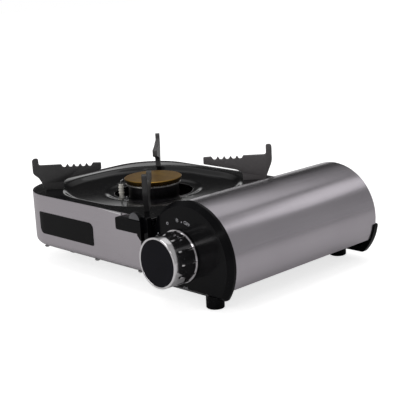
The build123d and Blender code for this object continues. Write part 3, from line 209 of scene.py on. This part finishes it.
finishes["black_enamel"] = enamel("vitreous_enamel_black", "#050506", "#0a0a0c", 0.09, 6.0, 0.01)
# Four copies of one enamel: the back supports' greys are painted light, the front supports' greys
# are painted shade.
support_coats_painted_light_shade = {
    "front_left": enamel("support_enamel_dark", "#2b2a2b", "#373637", 0.48, 0.9, 0.02),
    "front_right": enamel("support_enamel_sooty", "#252425", "#302f30", 0.40, 0.9, 0.02),
    "back_left": enamel("support_enamel_greyed", "#4a494a", "#575556", 0.46, 0.9, 0.02),
    "back_right": enamel("support_enamel_worn", "#575455", "#625f5f", 0.50, 0.9, 0.02),
}
print("made", finishes["black_enamel"].name, "and", len(support_coats_painted_light_shade), "support enamels")

# %% [markdown]
# ## Metals of the burner and the works
# The burner's cap is brass, satin from its casting, with painted shade turning its side dark brown
# below the top. The ring under it is chromed. The works are zinc-plated steel, cast aluminium and
# bright steel.

# %% Burner metals and works
def satin_metal(name, colour, second, rough, grain, depth=0.01):
    """A metal with a fine grain in its colour, gloss and surface."""
    material, tree, shader = new_finish(name, Metallic=1.0, Roughness=rough)
    grains = pattern(tree, 1 / (grain * mm), 3.0, 0.6)
    colours = tint(tree, spread(tree, grains, 0, 1), colour, second)
    tree.links.new(colours, shader.inputs["Base Color"])
    tree.links.new(spread(tree, grains, rough * 0.85, rough * 1.2), shader.inputs["Roughness"])
    relief(tree, shader, grains, depth * mm, 0.4)
    return material


def brass_with_painted_side_shade(name, top, rim_start, rim_end):
    """Brass with a blotchy top, and painted shade in dark brown from height rim_start down to
    rim_end, in mm.
    """
    material, tree, shader = new_finish(name, Metallic=1.0, Roughness=0.42)
    blotches = tint(tree, spread(tree, pattern(tree, 1 / (14 * mm), 3.0), 0, 1, 0.35, 0.65), *top)
    place = add(tree, "ShaderNodeTexCoord").outputs["Object"]
    height = add(tree, "ShaderNodeSeparateXYZ", {"Vector": place}).outputs["Z"]
    low = add(tree, "ShaderNodeMapRange", {
        "Value": height, "From Min": rim_start * mm, "From Max": rim_end * mm}).outputs["Result"]
    mixed = add(tree, "ShaderNodeMix", {"Factor": low}, data_type="RGBA")
    tree.links.new(blotches, mixed.inputs[6])
    # 3a2c14 is painted shade: the cap's toothed side below its top is darkened to it.
    mixed.inputs[7].default_value = linear("#3a2c14")
    tree.links.new(mixed.outputs[2], shader.inputs["Base Color"])
    grains = pattern(tree, 1 / (0.9 * mm), 2.0)
    tree.links.new(spread(tree, grains, 0.38, 0.48), shader.inputs["Roughness"])
    relief(tree, shader, grains, 0.012 * mm, 0.5)
    return material


finishes["brass"] = satin_metal("brass_turned", "#b28a4a", "#c49a58", 0.30, 1.5)
brass_cap = brass_with_painted_side_shade("brass_cast_painted_side_shade", ("#a8843e", "#906d35"), 98.6, 97.9)
finishes["chrome"] = satin_metal("chromium_plate", "#d3d1d3", "#dedcde", 0.10, 12.0, 0.004)
ring_chrome = satin_metal("chromium_plate_satin", "#cfccc8", "#dcd9d6", 0.30, 3.0, 0.01)
finishes["zinc_steel"] = satin_metal("zinc_plated_steel", "#8f9396", "#a9acae", 0.36, 9.0)
finishes["bare_aluminium"] = satin_metal(
    "aluminium_die_cast", "#9b9a98", "#aeadaa", 0.48, 1.2, 0.03)
finishes["steel"] = satin_metal("steel_bright_drawn", "#8a8a8b", "#9d9d9e", 0.26, 2.0)
finishes["burner_alloy"] = satin_metal("burner_alloy_blacked", "#2b2a2c", "#3a383a", 0.34, 2.0)
# The rolled edge is real steel; its colour, lighter than the wall's steel, is a painted highlight.
edge_steel_painted_highlight = satin_metal("stainless_edge_painted_highlight", "#e6e4e6", "#f0eef0", 0.32, 4.0, 0.004)
print("finishes:", len(finishes))

# %% [markdown]
# ## Plastics, rubber and ceramic
# The end caps and the lever are moulded in black heat-resistant nylon, from a mould with a
# very fine etched grain. The knob's disc and the badge are smoother. The spark electrode sits
# in white alumina ceramic, and the feet are rubber.

# %% Plastics, rubber and ceramic
def moulded(name, colour, second, rough, grain, depth, **more):
    """A non-metal moulded against a grained tool."""
    material, tree, shader = new_finish(name, Roughness=rough, **more)
    grains = pattern(tree, 1 / (grain * mm), 2.0)
    clouds = pattern(tree, 1 / (30 * mm), 2.0)
    colours = tint(tree, spread(tree, clouds, 0, 1), colour, second)
    tree.links.new(colours, shader.inputs["Base Color"])
    tree.links.new(spread(tree, clouds, rough * 0.9, rough * 1.12), shader.inputs["Roughness"])
    relief(tree, shader, grains, depth * mm, 0.5)
    return material


finishes["black_plastic"] = moulded("nylon_black_fine_grain", "#060608", "#09090b", 0.24, 0.8,
                                    0.006, Specular_IOR_Level=0.08)
panel_nylon = moulded("nylon_black_panel", "#060608", "#0a0a0c", 0.16, 0.8, 0.004,
                      Specular_IOR_Level=0.09)
# The tab's grey is a painted reflection on black nylon.
thumb_painted_reflection = moulded("nylon_grey_painted_reflection", "#47474a", "#515155", 0.30, 0.8, 0.004)
finishes["dark_plastic"] = moulded("nylon_black_matt", "#1c1c1e", "#262628", 0.55, 0.7, 0.02)
finishes["knob_black"] = moulded("abs_black_satin", "#0d0d12", "#121218", 0.38, 0.5, 0.004,
                                 Specular_IOR_Level=0.06)
finishes["badge_black"] = moulded("acrylic_black_gloss", "#070708", "#0a0a0b", 0.12, 3.0, 0.004,
                                  Specular_IOR_Level=0.08)
finishes["white_plastic"] = moulded("nylon_natural_white", "#d9d7cf", "#e3e1da", 0.42, 0.8, 0.01)
finishes["rubber"] = moulded("rubber_black_moulded", "#161616", "#202021", 0.6, 0.8, 0.03)
finishes["lead_rubber"] = moulded("silicone_rubber_lead", "#c9c5ba", "#d6d2c8", 0.5, 1.0, 0.01)
finishes["ceramic"] = moulded("alumina_ceramic", "#e3dfd6", "#efece5", 0.3, 1.0, 0.02)
print("finishes:", len(finishes))

# %% [markdown]
# ## Give the carried-over pieces their finishes
# Each CAD node's material slot already has a name, and the finish is found by that name. The
# lid, the panel, the supports and the burner's cap and ring get a finish of their own.

# %% Assign finishes to the CAD nodes
slots_used = set()
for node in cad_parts.values():
    for slot in node.material_slots:
        key = slot.material.name.split(".")[0]
        slots_used.add(key)
        slot.material = finishes[key]
own_finish = {"lid_shell": lid_steel, "front_cap": panel_nylon,
              "burner_cap": brass_cap, "burner_ring": ring_chrome}
own_finish.update({f"pan_support_{place}": coat for place, coat in support_coats_painted_light_shade.items()})
for name, material in own_finish.items():
    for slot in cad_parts[name].material_slots:
        slot.material = material
print("slots used:", sorted(slots_used))

# %% [markdown]
# ## How a surface is made
# Every new piece is a grid of points: one direction runs along a profile, the other round an
# axis or along an outline. The points are worked out as one array. A row can be closed into
# a loop, and the first and last row can be filled with a flat face.

# %% Helpers for surfaces
def rounded(points, radii, steps=5):
    """A polyline with its corners turned into arcs that leave and meet the runs smoothly.

    At each corner a quadratic curve runs from one radius before it to one radius after it.
    """
    points = np.asarray(points, float)
    line = []
    for i, (corner, radius) in enumerate(zip(points, radii)):
        if radius <= 0:
            line.append(corner[None])
            continue
        before, after = points[i - 1], points[(i + 1) % len(points)]
        a = corner + (before - corner) / np.linalg.norm(before - corner) * radius
        b = corner + (after - corner) / np.linalg.norm(after - corner) * radius
        t = np.linspace(0, 1, steps + 1)[:, None]
        line.append((1 - t) ** 2 * a + 2 * t * (1 - t) * corner + t ** 2 * b)
    return np.concatenate(line)


def surface(name, grid, finish, body, nodes=(), loop_rows=False, loop_columns=True,
            fill_first=False, fill_last=False, angle=40.0):
    """A mesh from a grid of points in millimetres, shaped (rows, columns, 3).

    Face (i, j) joins points (i, j), (i, j+1), (i+1, j+1) and (i+1, j), counted round where a
    direction is looped.
    """
    rows, columns = grid.shape[:2]
    number = np.arange(rows * columns).reshape(rows, columns)
    if loop_rows:
        number = np.concatenate([number, number[:1]])
    if loop_columns:
        number = np.concatenate([number, number[:, :1]], axis=1)
    faces = np.stack([number[:-1, :-1], number[:-1, 1:], number[1:, 1:], number[1:, :-1]], -1)
    faces = faces.reshape(-1, 4).tolist()
    if fill_first:
        faces.append(list(range(columns)))
    if fill_last:
        faces.append(list(range((rows - 1) * columns, rows * columns)))
    mesh = bpy.data.meshes.new(name)
    mesh.from_pydata((grid.reshape(-1, 3) * mm).tolist(), [], faces)
    mesh.update()
    tidy(mesh, angle)
    return place_piece(name, mesh, finish, body, nodes)


def tidy(mesh, angle):
    """Merges doubled points, turns faces outwards and smooths all but edges sharper than angle."""
    work = bmesh.new()
    work.from_mesh(mesh)
    bmesh.ops.remove_doubles(work, verts=work.verts, dist=1e-7)
    bmesh.ops.dissolve_degenerate(work, edges=work.edges, dist=1e-7)
    bmesh.ops.recalc_face_normals(work, faces=work.faces)
    work.to_mesh(mesh)
    work.free()
    mesh.shade_smooth()
    mesh.set_sharp_from_angle(angle=math.radians(angle))


def place_piece(name, mesh, finish, body, nodes):
    """Links a mesh as a piece that rides on a body and stands for CAD nodes."""
    mesh.materials.append(finish)
    piece = bpy.data.objects.new(name, mesh)
    bpy.context.scene.collection.objects.link(piece)
    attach(piece, body)
    if nodes:
        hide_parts(*nodes)
    return piece


# %% [markdown]
# ## The enamelled deck
# The deck is one pressing: a flat border, a sunken drip bowl, a shallow step round the burner
# and a rolled lip at the well. Seen from above it changes from a circle at the well, to a
# soft square at the bowl, to the box's outline at the edge. So a ray goes out from the
# burner in each direction, and for every row of the profile the ray stops at that row's
# outline. All the corners of the profile are rounded, because a press can't make a sharp one.

# %% Outlines of the deck
turns = 540
longest_ray = 260.0
deck_corner = 59.0
bowl_centre = burner + np.array([0.0, -2.5])
bowl_half, bowl_corner = np.array([109.0, 98.5]), 88.0
box_end = deck_high[0]
corner_angles = [math.atan2(y - burner[1], box_end - burner[0])
                 for y in (deck_low[1], deck_high[1])]
corner_rays = [[a - 1e-4, a, a + 1e-4] for a in corner_angles]
ray_angles = np.linspace(-math.pi, math.pi, turns, endpoint=False)
ray_angles = np.sort(np.concatenate([ray_angles] + corner_rays))
rays = np.stack([np.cos(ray_angles), np.sin(ray_angles)], -1)


def soft_box_distance(points, centre, half, corner):
    """Signed distance to a rounded rectangle: outside its corner circles, less the corner."""
    q = np.abs(points - centre) - (half - corner)
    return np.linalg.norm(np.maximum(q, 0), axis=-1) + np.minimum(q.max(axis=-1), 0) - corner


def deck_edge_distance(points):
    """The deck's edge: a rounded rectangle that is cut off straight at its right end."""
    past = 200.0
    centre = np.array([(deck_low[0] + box_end + past) / 2, (deck_low[1] + deck_high[1]) / 2])
    half = np.array([(box_end + past - deck_low[0]) / 2, (deck_high[1] - deck_low[1]) / 2])
    whole = soft_box_distance(points, centre, half, deck_corner)
    return np.maximum(whole, points[..., 0] - box_end)


def bowl_distance(points):
    """The bowl's rim: 218 by 197 mm with corners of 88 mm, a little in front of the burner."""
    return soft_box_distance(points, bowl_centre, bowl_half, bowl_corner)


def reach(distance, inset):
    """How far each ray goes before the signed distance is -inset, found by halving."""
    low, high = np.zeros(len(rays)), np.full(len(rays), longest_ray)
    for _ in range(40):
        middle = (low + high) / 2
        inside = distance(burner + rays * middle[:, None]) < -inset
        low, high = np.where(inside, middle, low), np.where(inside, high, middle)
    return low


print("the bowl's rim is", reach(bowl_distance, 0).min().round(1), "to",
      reach(bowl_distance, 0).max().round(1), "mm from the burner")

# %% Deck surface
bowl_z = deck_z - 6.4
step_z = bowl_z - 1.8
floor_start = 63.0
well_line = rounded(
    [(48.4, step_z - 3.9), (47.6, step_z), (54.0, step_z), (60.0, bowl_z), (floor_start, bowl_z)],
    [0, 1.6, 2.0, 2.2, 0], 6)
rim_line = rounded(
    [(11.0, bowl_z), (7.0, bowl_z), (0.0, deck_z), (-4.0, deck_z)], [0, 3.6, 2.6, 0], 8)
edge_line = rounded([(4.0, deck_z), (0.0, deck_z), (0.0, deck_low[2])], [0, 1.3, 0], 6)
floor_rows, border_rows = 22, 6

bowl_foot = reach(bowl_distance, rim_line[0, 0])
border_start = reach(bowl_distance, rim_line[-1, 0])
border_end = reach(deck_edge_distance, edge_line[0, 0])


def between(start, end, count):
    """Evenly spaced reaches between two rows, without the rows themselves."""
    share = np.linspace(0, 1, count + 2)[1:-1, None]
    return start + (end - start) * share


reaches = np.concatenate([
    well_line[:, :1] + np.zeros(len(rays)),
    between(np.full(len(rays), well_line[-1, 0]), bowl_foot, floor_rows),
    np.stack([reach(bowl_distance, inset) for inset in rim_line[:, 0]]),
    between(border_start, border_end, border_rows),
    np.stack([reach(deck_edge_distance, inset) for inset in edge_line[:, 0]]),
])
heights = np.concatenate([
    well_line[:, 1], np.full(floor_rows, bowl_z), rim_line[:, 1],
    np.full(border_rows, deck_z), edge_line[:, 1]])

# The floor of the bowl rises a little towards its wall, so that a spill runs to the middle.
rise, rise_run = 2.2, 42.0
floor_rise = rise * np.clip((reaches - floor_start) / rise_run, 0, 1.2) ** 1.2
deck_grid = np.empty((*reaches.shape, 3))
deck_grid[..., :2] = burner + rays * reaches[..., None]
deck_grid[..., 2] = heights[:, None]

# The border slopes down by 0.8 mm towards the edge, more and more towards the left.
border_drop, drop_start, drop_run = 0.8, 25.0, 70.0
border = np.clip((reaches - border_start) / (border_end - border_start), 0, 1)
border = border * (reaches > border_start)
at_left = np.clip((burner[0] - drop_start - deck_grid[..., 0]) / drop_run, 0, 1)
deck_grid[..., 2] -= border_drop * border * at_left
share = (deck_z - deck_grid[..., 2]) / (deck_z - bowl_z)
deck_grid[..., 2] += floor_rise * np.clip(share, 0, 1) * (reaches < border_start)

# Two shallow dimples beside the well: the floor drops by a bell curve, depth times
# exp(-(distance / width) ** 2).
dimple_reach, dimple_depth, dimple_width = 62.0, 1.2, 3.0
for side in (-1, 1):
    spot = burner + np.array([side * dimple_reach, 0.0])
    away = np.linalg.norm(deck_grid[..., :2] - spot, axis=-1)
    deck_grid[..., 2] -= dimple_depth * np.exp(-(away / dimple_width) ** 2)

# The skirt stops short where the lever's slot goes through the wall, and at the open right end.
slot_start, short_skirt, beyond_well = 53.5, deck_z - 1.4, reaches > 62
near_slot = (deck_grid[..., 0] > slot_start) & (deck_grid[..., 1] < deck_low[1] + 1.0)
open_end = deck_grid[..., 0] > box_end - 0.6
stops_short = (deck_grid[..., 2] < short_skirt) & (near_slot | open_end) & beyond_well
deck_grid[..., 2] = np.where(stops_short, short_skirt, deck_grid[..., 2])

deck = surface("deck_pressing", deck_grid, finishes["black_enamel"], "stove",
               ("top_deck",))
sheet_thickness = 0.8
sheet = deck.modifiers.new("sheet", "SOLIDIFY")
sheet.thickness = sheet_thickness * mm
sheet.offset = -1
print("deck:", len(deck.data.polygons), "faces")

# %% [markdown]
# ## The pan supports
# A support is cast to a flat shape 5.6 mm thick: an arm with a row of notches, a horn that stops
# the pan sliding, and a leg. The two on the bay's side have a taller horn and a straight leg,
# and the other two have a leg with a hollow back. An extruded outline would have razor edges,
# so the outline is carried through the thickness in a few rows, pulled in a little at both
# faces.

# %% Outline of a support
plate_half = 2.8
edge_round = 0.12
leg_backs = {
    "straight": [(146.0, 22.0, 4.0), (138.5, 3.0, 1.5), (137.5, 0.0, 0)],
    "hollow": [(146.0, 19.6, 4.0), (139.6, 15.4, 3.4), (134.8, 6.6, 3.0), (131.5, 0.0, 0)],
}


def support_outline(horn_top, leg_back, horn_width=7.0):
    """Outline of a support: distance from the burner's axis and height above the deck."""
    arm, tip, end = 30.0, 62.5, 146.0
    arm_depth, first_notch = 8.0, 10.0
    notches, pitch, depth, peak = 5, 7.8, 3.6, 0.35
    corners = [(tip, arm - arm_depth, 1.2), (tip, arm, 1.4)]
    for i in range(notches):
        start = tip + first_notch + pitch * i
        corners += [(start, arm + peak, 1.2), (start + pitch * 0.30, arm - depth, 1.3),
                    (start + pitch * 0.70, arm - depth, 1.3)]
    corners += [(start + pitch, arm, 0.8), (end - horn_width, arm, 2.6)]
    corners += [(end - horn_width, horn_top, 2.6), (end, horn_top, 3.2)] + leg_back
    corners += [(110.0, 0.0, 0), (110.0, 9.0, 4.0), (104.0, 13.0, 5.0)]
    corners = np.array(corners)
    return rounded(corners[:, :2], corners[:, 2], 5)


print("outline points:", len(support_outline(38.5, leg_backs["hollow"])))


# %% Four supports
def inward(outline):
    """The inward direction at each point of a closed outline: the turned sum of its two runs."""
    ahead = np.roll(outline, -1, axis=0) - outline
    behind = outline - np.roll(outline, 1, axis=0)
    ahead, behind = (v / np.linalg.norm(v, axis=1)[:, None] for v in (ahead, behind))
    run = ahead + behind
    run /= np.linalg.norm(run, axis=1)[:, None]
    following = np.roll(outline, -1, axis=0)
    area = np.sum(outline[:, 0] * following[:, 1] - following[:, 0] * outline[:, 1])
    return np.stack([-run[:, 1], run[:, 0]], -1) * np.sign(area)


def plate_rows(outline, half, radius):
    """Rows of an outline through a plate, pulled in on quarter circles at both faces.

    The pull is r (1 - sin t) from one face inwards, then r (1 - cos t) out to the other.
    """
    t = np.linspace(0, math.pi / 2, 4)
    pulls = np.concatenate([radius * (1 - np.sin(t)), radius * (1 - np.cos(t))])
    depths = np.concatenate([-half + radius * (1 - np.cos(t)), half - radius * (1 - np.sin(t))])
    return outline[None] + inward(outline)[None] * pulls[:, None, None], depths


low_horn, tall_horn = 38.5, 42.5
supports = (("front_left", 225, low_horn, "hollow"), ("front_right", 315, tall_horn, "straight"),
            ("back_left", 135, low_horn, "hollow"), ("back_right", 45, tall_horn, "straight"))
for name, turn, horn, back in supports:
    rows, depths = plate_rows(support_outline(horn, leg_backs[back]), plate_half, edge_round)
    out = np.array([math.cos(math.radians(turn)), math.sin(math.radians(turn))])
    across = np.array([-out[1], out[0]])
    grid = np.empty((*rows.shape[:2], 3))
    grid[..., :2] = burner + rows[..., :1] * out + depths[:, None, None] * across
    grid[..., 2] = deck_z + rows[..., 1]
    surface(f"support_plate_{name}", grid, support_coats_painted_light_shade[name], "stove",
            (f"pan_support_{name}",), fill_first=True, fill_last=True, angle=35.0)
    print("support", name, "has", grid.shape[0] * grid.shape[1], "points")

# %% [markdown]
# ## The knob
# The knob is an ABS cup with a bright chromium plating. Twelve fine ribs run along the rear
# part of its side for the fingers. The shell is a profile turned round the axis, and each rib
# is added as a smooth bump in the radius.

# %% Knob shell
def turned(profile, centre, radius_extra, segments):
    """A profile of (y, radius) turned round an axis along Y at centre (x, z), plus an extra."""
    a = np.linspace(0, 2 * math.pi, segments, endpoint=False)
    radius = profile[:, 1:2] + radius_extra(profile, a)
    grid = np.empty((len(profile), segments, 3))
    grid[..., 0] = centre[0] + radius * np.cos(a)
    grid[..., 1] = profile[:, :1]
    grid[..., 2] = centre[1] + radius * np.sin(a)
    return grid


face_y = knob_low[1]
back_y = knob_high[1]
knob_radius = 27.5
rib_count, rib_height, rib_half, rib_fade = 12, 0.8, 1.2, 1.5
knob_profile = rounded([
    (face_y + 5.0, 3.0), (back_y, 3.0), (back_y, 7.0), (face_y + 4.0, 7.0), (face_y + 4.0, 25.5),
    (back_y, 25.5), (back_y, knob_radius), (face_y + 10.0, knob_radius), (face_y, knob_radius),
    (face_y, 25.1),
    (face_y + 2.0, 25.0), (face_y + 2.0, 3.0)],
    [0, 0, 0.4, 0.4, 0.8, 0.3, 0.3, 0, 1.0, 0.5, 0, 0], 5)


def ribs(profile, a):
    """Twelve ridges 0.8 mm high and 2.4 mm wide, fading in over 1.5 mm, on the outer side only."""
    along = np.clip((profile[:, :1] - (face_y + 11.0)) / rib_fade, 0, 1)
    outer = (profile[:, 1:2] > knob_radius - 1.0).astype(float)
    spacing = 2 * math.pi / rib_count
    distance = np.abs((a / spacing + 0.5) % 1 - 0.5) * spacing * knob_radius
    bump = np.clip(1.0 - (distance / rib_half) ** 2, 0, 1)
    return rib_height * outer * along * bump


# The side's one long row becomes a dense stretch of rows, so that the ribs can fade in.
side = np.linspace(face_y + 9.0, back_y - 1.0, 14)
dense = np.stack([side[::-1], np.full(len(side), knob_radius)], -1)
on_side = (knob_profile[:, 1] > knob_radius - 0.1) & (knob_profile[:, 0] > face_y + 5.0)
first, last = np.where(on_side)[0][[0, -1]]
knob_profile = np.concatenate([knob_profile[:first + 1], dense, knob_profile[last + 1:]])
surface("knob_cup", turned(knob_profile, knob_axis, ribs, 720), finishes["chrome"],
        "knob", ("knob_shell",), loop_rows=True, angle=30.0)
print("knob profile rows:", len(knob_profile))

# %% [markdown]
# ## Thumb dome and rolled edge
# The lever's tab is a low dome of black nylon, coloured grey as a painted reflection of the bright
# room above it. Beside the lever, where the deck's skirt stops, the wall's top edge is rolled over
# and shows as a bright
# line: its steel is coloured lighter than the wall's, as a painted highlight. Both are thin shapes
# that lie on a CAD piece, so they are added on top of it.

# %% Thumb dome
lever_low, lever_high = box_mm("lock_lever")
dome_centre = np.array([lever_low[0] + 31.3, lever_high[2] - 8.7])
dome_radius, dome_height, dome_root, dome_set_back = 8.5, 0.5, 1.2, 0.55
dome_middle = dome_centre + [0, dome_radius * 0.45]
a = np.radians(np.linspace(8, 172, 40))
half_disc = dome_centre + dome_radius * np.stack([np.cos(a), np.sin(a)], -1)
# The outline shrinks to its middle by r. Its front stands out by h (1 - r^2), and a last row
# behind the rim, inside the tab, closes the dome.
r = np.linspace(0, 1, 14)[:, None]
flat = dome_middle + r[..., None] * (half_disc - dome_middle)
front = lever_low[1] + dome_set_back - dome_height * (1 - r ** 2)
front = np.broadcast_to(front, flat.shape[:2])
dome = np.stack([flat[..., 0], front, flat[..., 1]], -1)
dome = np.concatenate([dome, dome[-1:] + [0, dome_root, 0]])
surface("thumb_dome", dome, thumb_painted_reflection, "lever", fill_last=True)
print("thumb dome at", dome_centre.round(1))

# %% Rolled edge beside the lever
wall_low, wall_high = box_mm("body_shell")
edge_start, lever_gap = -16.0, 0.6
thin, thick = 0.15, 1.3
along = np.linspace(edge_start, lever_low[0] - lever_gap, 40)[:, None]
bead = thin + (thick - thin) * (along - along[0]) / (along[-1] - along[0])
t = np.linspace(0, 2 * math.pi, 24, endpoint=False)[None]
# A bead with radius r growing towards the lever: out by r sin t at its front, by a quarter of
# that at its back, inside the wall, and up by r cos t.
out = np.where(np.sin(t) > 0, np.sin(t), np.sin(t) / 4)
edge_y, edge_z = wall_low[1] + 0.02, wall_high[2] - 0.3
edge = np.stack(np.broadcast_arrays(
    along, edge_y - bead * out, edge_z - bead + bead * np.cos(t)), -1)
# The bead's steel is coloured lighter than the wall's as a painted highlight.
surface("rolled_edge", edge, edge_steel_painted_highlight, "stove", fill_first=True, fill_last=True)
print("rolled edge:", round(float(along[-1, 0] - along[0, 0]), 1), "mm long")

# %% [markdown]
# ## Marks on the control panel
# The panel has a few plain marks printed round the knob, which show where the gas is off and
# where it lights. They are set as text, turned into thin solids, and laid on the panel with
# each mark upright on its radius. The ink stands 0.06 mm proud and reaches 0.02 mm into it.

# %% Printed marks
ink = moulded("printing_ink_grey", "#a9a9ad", "#b6b6ba", 0.5, 0.6, 0.002)
panel_y = flange_back + 0.6
ink_half, ink_root = 0.04, 0.02
print("panel at y", round(panel_y, 2))


def printed_mark(name, text, turn, reach_out, size, tilt=1.0):
    """Text at an angle a and a radius from the knob's axis; tilt -1 turns it to face inwards.

    Up is (cos a, sin a) and right is (sin a, -cos a), in X and Z.
    """
    font = bpy.data.curves.new(name, "FONT")
    font.body, font.size = text, size * mm
    font.align_x, font.align_y = "CENTER", "CENTER"
    font.extrude = ink_half * mm
    holder = bpy.data.objects.new(name + "_text", font)
    mesh = bpy.data.meshes.new_from_object(holder)
    bpy.data.objects.remove(holder)
    a = math.radians(turn)
    up = np.array([math.cos(a), math.sin(a)]) * tilt
    right = np.array([up[1], -up[0]])
    flat = np.empty(len(mesh.vertices) * 3)
    mesh.vertices.foreach_get("co", flat)
    flat = flat.reshape(-1, 3) / mm
    centre = knob_axis + reach_out * np.array([math.cos(a), math.sin(a)])
    placed = centre + flat[:, :1] * right + flat[:, 1:2] * up
    depth = panel_y + ink_root - ink_half - flat[:, 2]
    full = np.stack([placed[:, 0], depth, placed[:, 1]], -1) * mm
    mesh.vertices.foreach_set("co", full.ravel())
    mesh.update()
    tidy(mesh, 30.0)
    return place_piece(name, mesh, ink, "stove", ())


printed_mark("mark_off", "OFF", 71, 38.6, 5.2)
printed_mark("mark_dot", "\u2022", 82.5, 37.4, 6.0)
printed_mark("mark_spark", "*", 92.5, 36.4, 10.0)
printed_mark("mark_ring", "o", 117, 37.4, 6.5)
printed_mark("mark_tick", "-", 149, 38.5, 9.0)
printed_mark("mark_on", "ON", 279, 35.0, 4.6, -1.0)

# %% [markdown]
# ## Studio
# A plain pale floor, a white room and five soft lamps. The room is white to the eye
# and to mirrors, and darker for the soft light, so that the object keeps its own colours.

# %% Floor, world and lamps
floor_mesh = bpy.data.meshes.new("studio_floor")
floor_mesh.from_pydata([(-6, -6, 0), (6, -6, 0), (6, 6, 0), (-6, 6, 0)], [], [(0, 1, 2, 3)])
floor = bpy.data.objects.new("studio_floor", floor_mesh)
bpy.context.scene.collection.objects.link(floor)
floor_paper, paper_tree, paper = new_finish(
    "studio_paper", Base_Color=linear("#e6e5e5"), Roughness=0.9)
ray_kind = add(paper_tree, "ShaderNodeLightPath")
glow = add(paper_tree, "ShaderNodeEmission", {"Color": (1, 1, 1, 1), "Strength": 0.72})
both = add(paper_tree, "ShaderNodeAddShader", {
    0: paper.outputs["BSDF"], 1: glow.outputs["Emission"]})
seen = add(paper_tree, "ShaderNodeMixShader", {
    "Fac": ray_kind.outputs["Is Camera Ray"], 1: paper.outputs["BSDF"], 2: both.outputs["Shader"]})
paper_out = [n for n in paper_tree.nodes if n.type == "OUTPUT_MATERIAL"][0]
paper_tree.links.new(seen.outputs["Shader"], paper_out.inputs["Surface"])
floor_mesh.materials.append(floor_paper)

world = bpy.data.worlds.new("white_room")
bpy.context.scene.world = world
world.use_nodes = True
air = world.node_tree
air.nodes.clear()
path = add(air, "ShaderNodeLightPath")
mirror = add(air, "ShaderNodeMath", {
    0: path.outputs["Is Glossy Ray"], 1: path.outputs["Is Transmission Ray"]}, operation="MAXIMUM")
direction = add(air, "ShaderNodeTexCoord").outputs["Generated"]
height = add(air, "ShaderNodeSeparateXYZ", {"Vector": direction}).outputs["Z"]
window_side = add(air, "ShaderNodeVectorMath", {
    0: direction, 1: (-0.707, 0.707, 0.0)}, operation="DOT_PRODUCT")
# At the far left the mirrored room is bright low down, almost black above that, and grey
# overhead; to the right it is evenly grey.
low_level, right_level = 0.75, 0.42
soft_level, seen_level = 0.45, 1.0
high_level = add(air, "ShaderNodeMapRange", {
    "Value": height, "From Min": 0.36, "From Max": 0.60, "To Min": 0.03, "To Max": 0.34})
climb = add(air, "ShaderNodeMapRange", {
    "Value": height, "From Min": 0.10, "From Max": 0.195}, interpolation_type="SMOOTHSTEP")
left_level = add(air, "ShaderNodeMix", {
    "Factor": climb.outputs["Result"], "A": low_level, "B": high_level.outputs["Result"]})
turn_left = add(air, "ShaderNodeMapRange", {
    "Value": window_side.outputs["Value"], "From Min": 0.1, "From Max": 0.6},
    interpolation_type="SMOOTHSTEP")
room_level = add(air, "ShaderNodeMix", {
    "Factor": turn_left.outputs["Result"], "A": right_level, "B": left_level.outputs["Result"]})
soft, mirrored, white = (
    add(air, "ShaderNodeBackground", {"Color": (1, 1, 1, 1), "Strength": strength})
    for strength in (soft_level, room_level.outputs["Result"], seen_level))
first_mix = add(air, "ShaderNodeMixShader", {
    "Fac": mirror.outputs[0], 1: soft.outputs[0], 2: mirrored.outputs[0]})
second_mix = add(air, "ShaderNodeMixShader", {
    "Fac": path.outputs["Is Camera Ray"], 1: first_mix.outputs[0], 2: white.outputs[0]})
add(air, "ShaderNodeOutputWorld", {"Surface": second_mix.outputs[0]})


def softbox(name, place, target, width, height, watts):
    """A rectangular lamp at place, facing target: its -Z axis points along the line to it."""
    data = bpy.data.lights.new(name, "AREA")
    data.shape = "RECTANGLE"
    data.size, data.size_y, data.energy = width, height, watts
    lamp = bpy.data.objects.new(name, data)
    aim = mathutils.Vector(target) - mathutils.Vector(place)
    lamp.location = place
    lamp.rotation_euler = aim.to_track_quat("-Z", "Y").to_euler()
    bpy.context.scene.collection.objects.link(lamp)


softbox("softbox_above", (0.0, -0.1, 1.7), (0, 0, 0.05), 1.0, 1.0, 7)
softbox("softbox_back", (-0.35, 1.15, 1.55), (0, 0.1, 0.05), 1.2, 0.6, 1.1)
softbox("softbox_back_right", (0.66, 1.40, 1.15), (0.05, 0.05, 0.05), 0.7, 0.45, 0.9)
softbox("softbox_front", (-0.5, -1.8, 1.0), (0, 0, 0.05), 1.0, 0.8, 7)
softbox("softbox_front_right", (1.0, -1.35, 1.1), (0.1, -0.1, 0.05), 0.4, 0.3, 2.0)

# %% [markdown]
# ## Camera
# The camera looks down 13.5 degrees from the front right, with a long lens. It is tilted by
# 3 degrees about its own axis. Its matrix holds right, up, away and place as columns.

# %% Camera
camera_turn, camera_rise, camera_roll = np.radians([46.2008, 13.4998, -3.0737]).tolist()
level = np.array([math.cos(camera_turn), math.sin(camera_turn), 0.0])
away = np.array([math.sin(camera_turn) * math.cos(camera_rise),
                 -math.cos(camera_turn) * math.cos(camera_rise), math.sin(camera_rise)])
upright = np.cross(away, level)
camera_right = math.cos(camera_roll) * level + math.sin(camera_roll) * upright
camera_up = -math.sin(camera_roll) * level + math.cos(camera_roll) * upright
camera_place = np.array([0.8573, -0.7921, 0.3558])
matrix = np.eye(4)
matrix[:3] = np.stack([camera_right, camera_up, away, camera_place], -1)
camera_data = bpy.data.cameras.new("camera")
camera_data.lens = 90.88
camera_data.sensor_width = 36.0
camera = bpy.data.objects.new("camera", camera_data)
bpy.context.scene.collection.objects.link(camera)
camera.matrix_world = mathutils.Matrix(matrix.tolist())
bpy.context.scene.camera = camera
bpy.context.scene.view_settings.view_transform = "Standard"
print("camera at", camera_place, "m, lens", camera_data.lens, "mm")
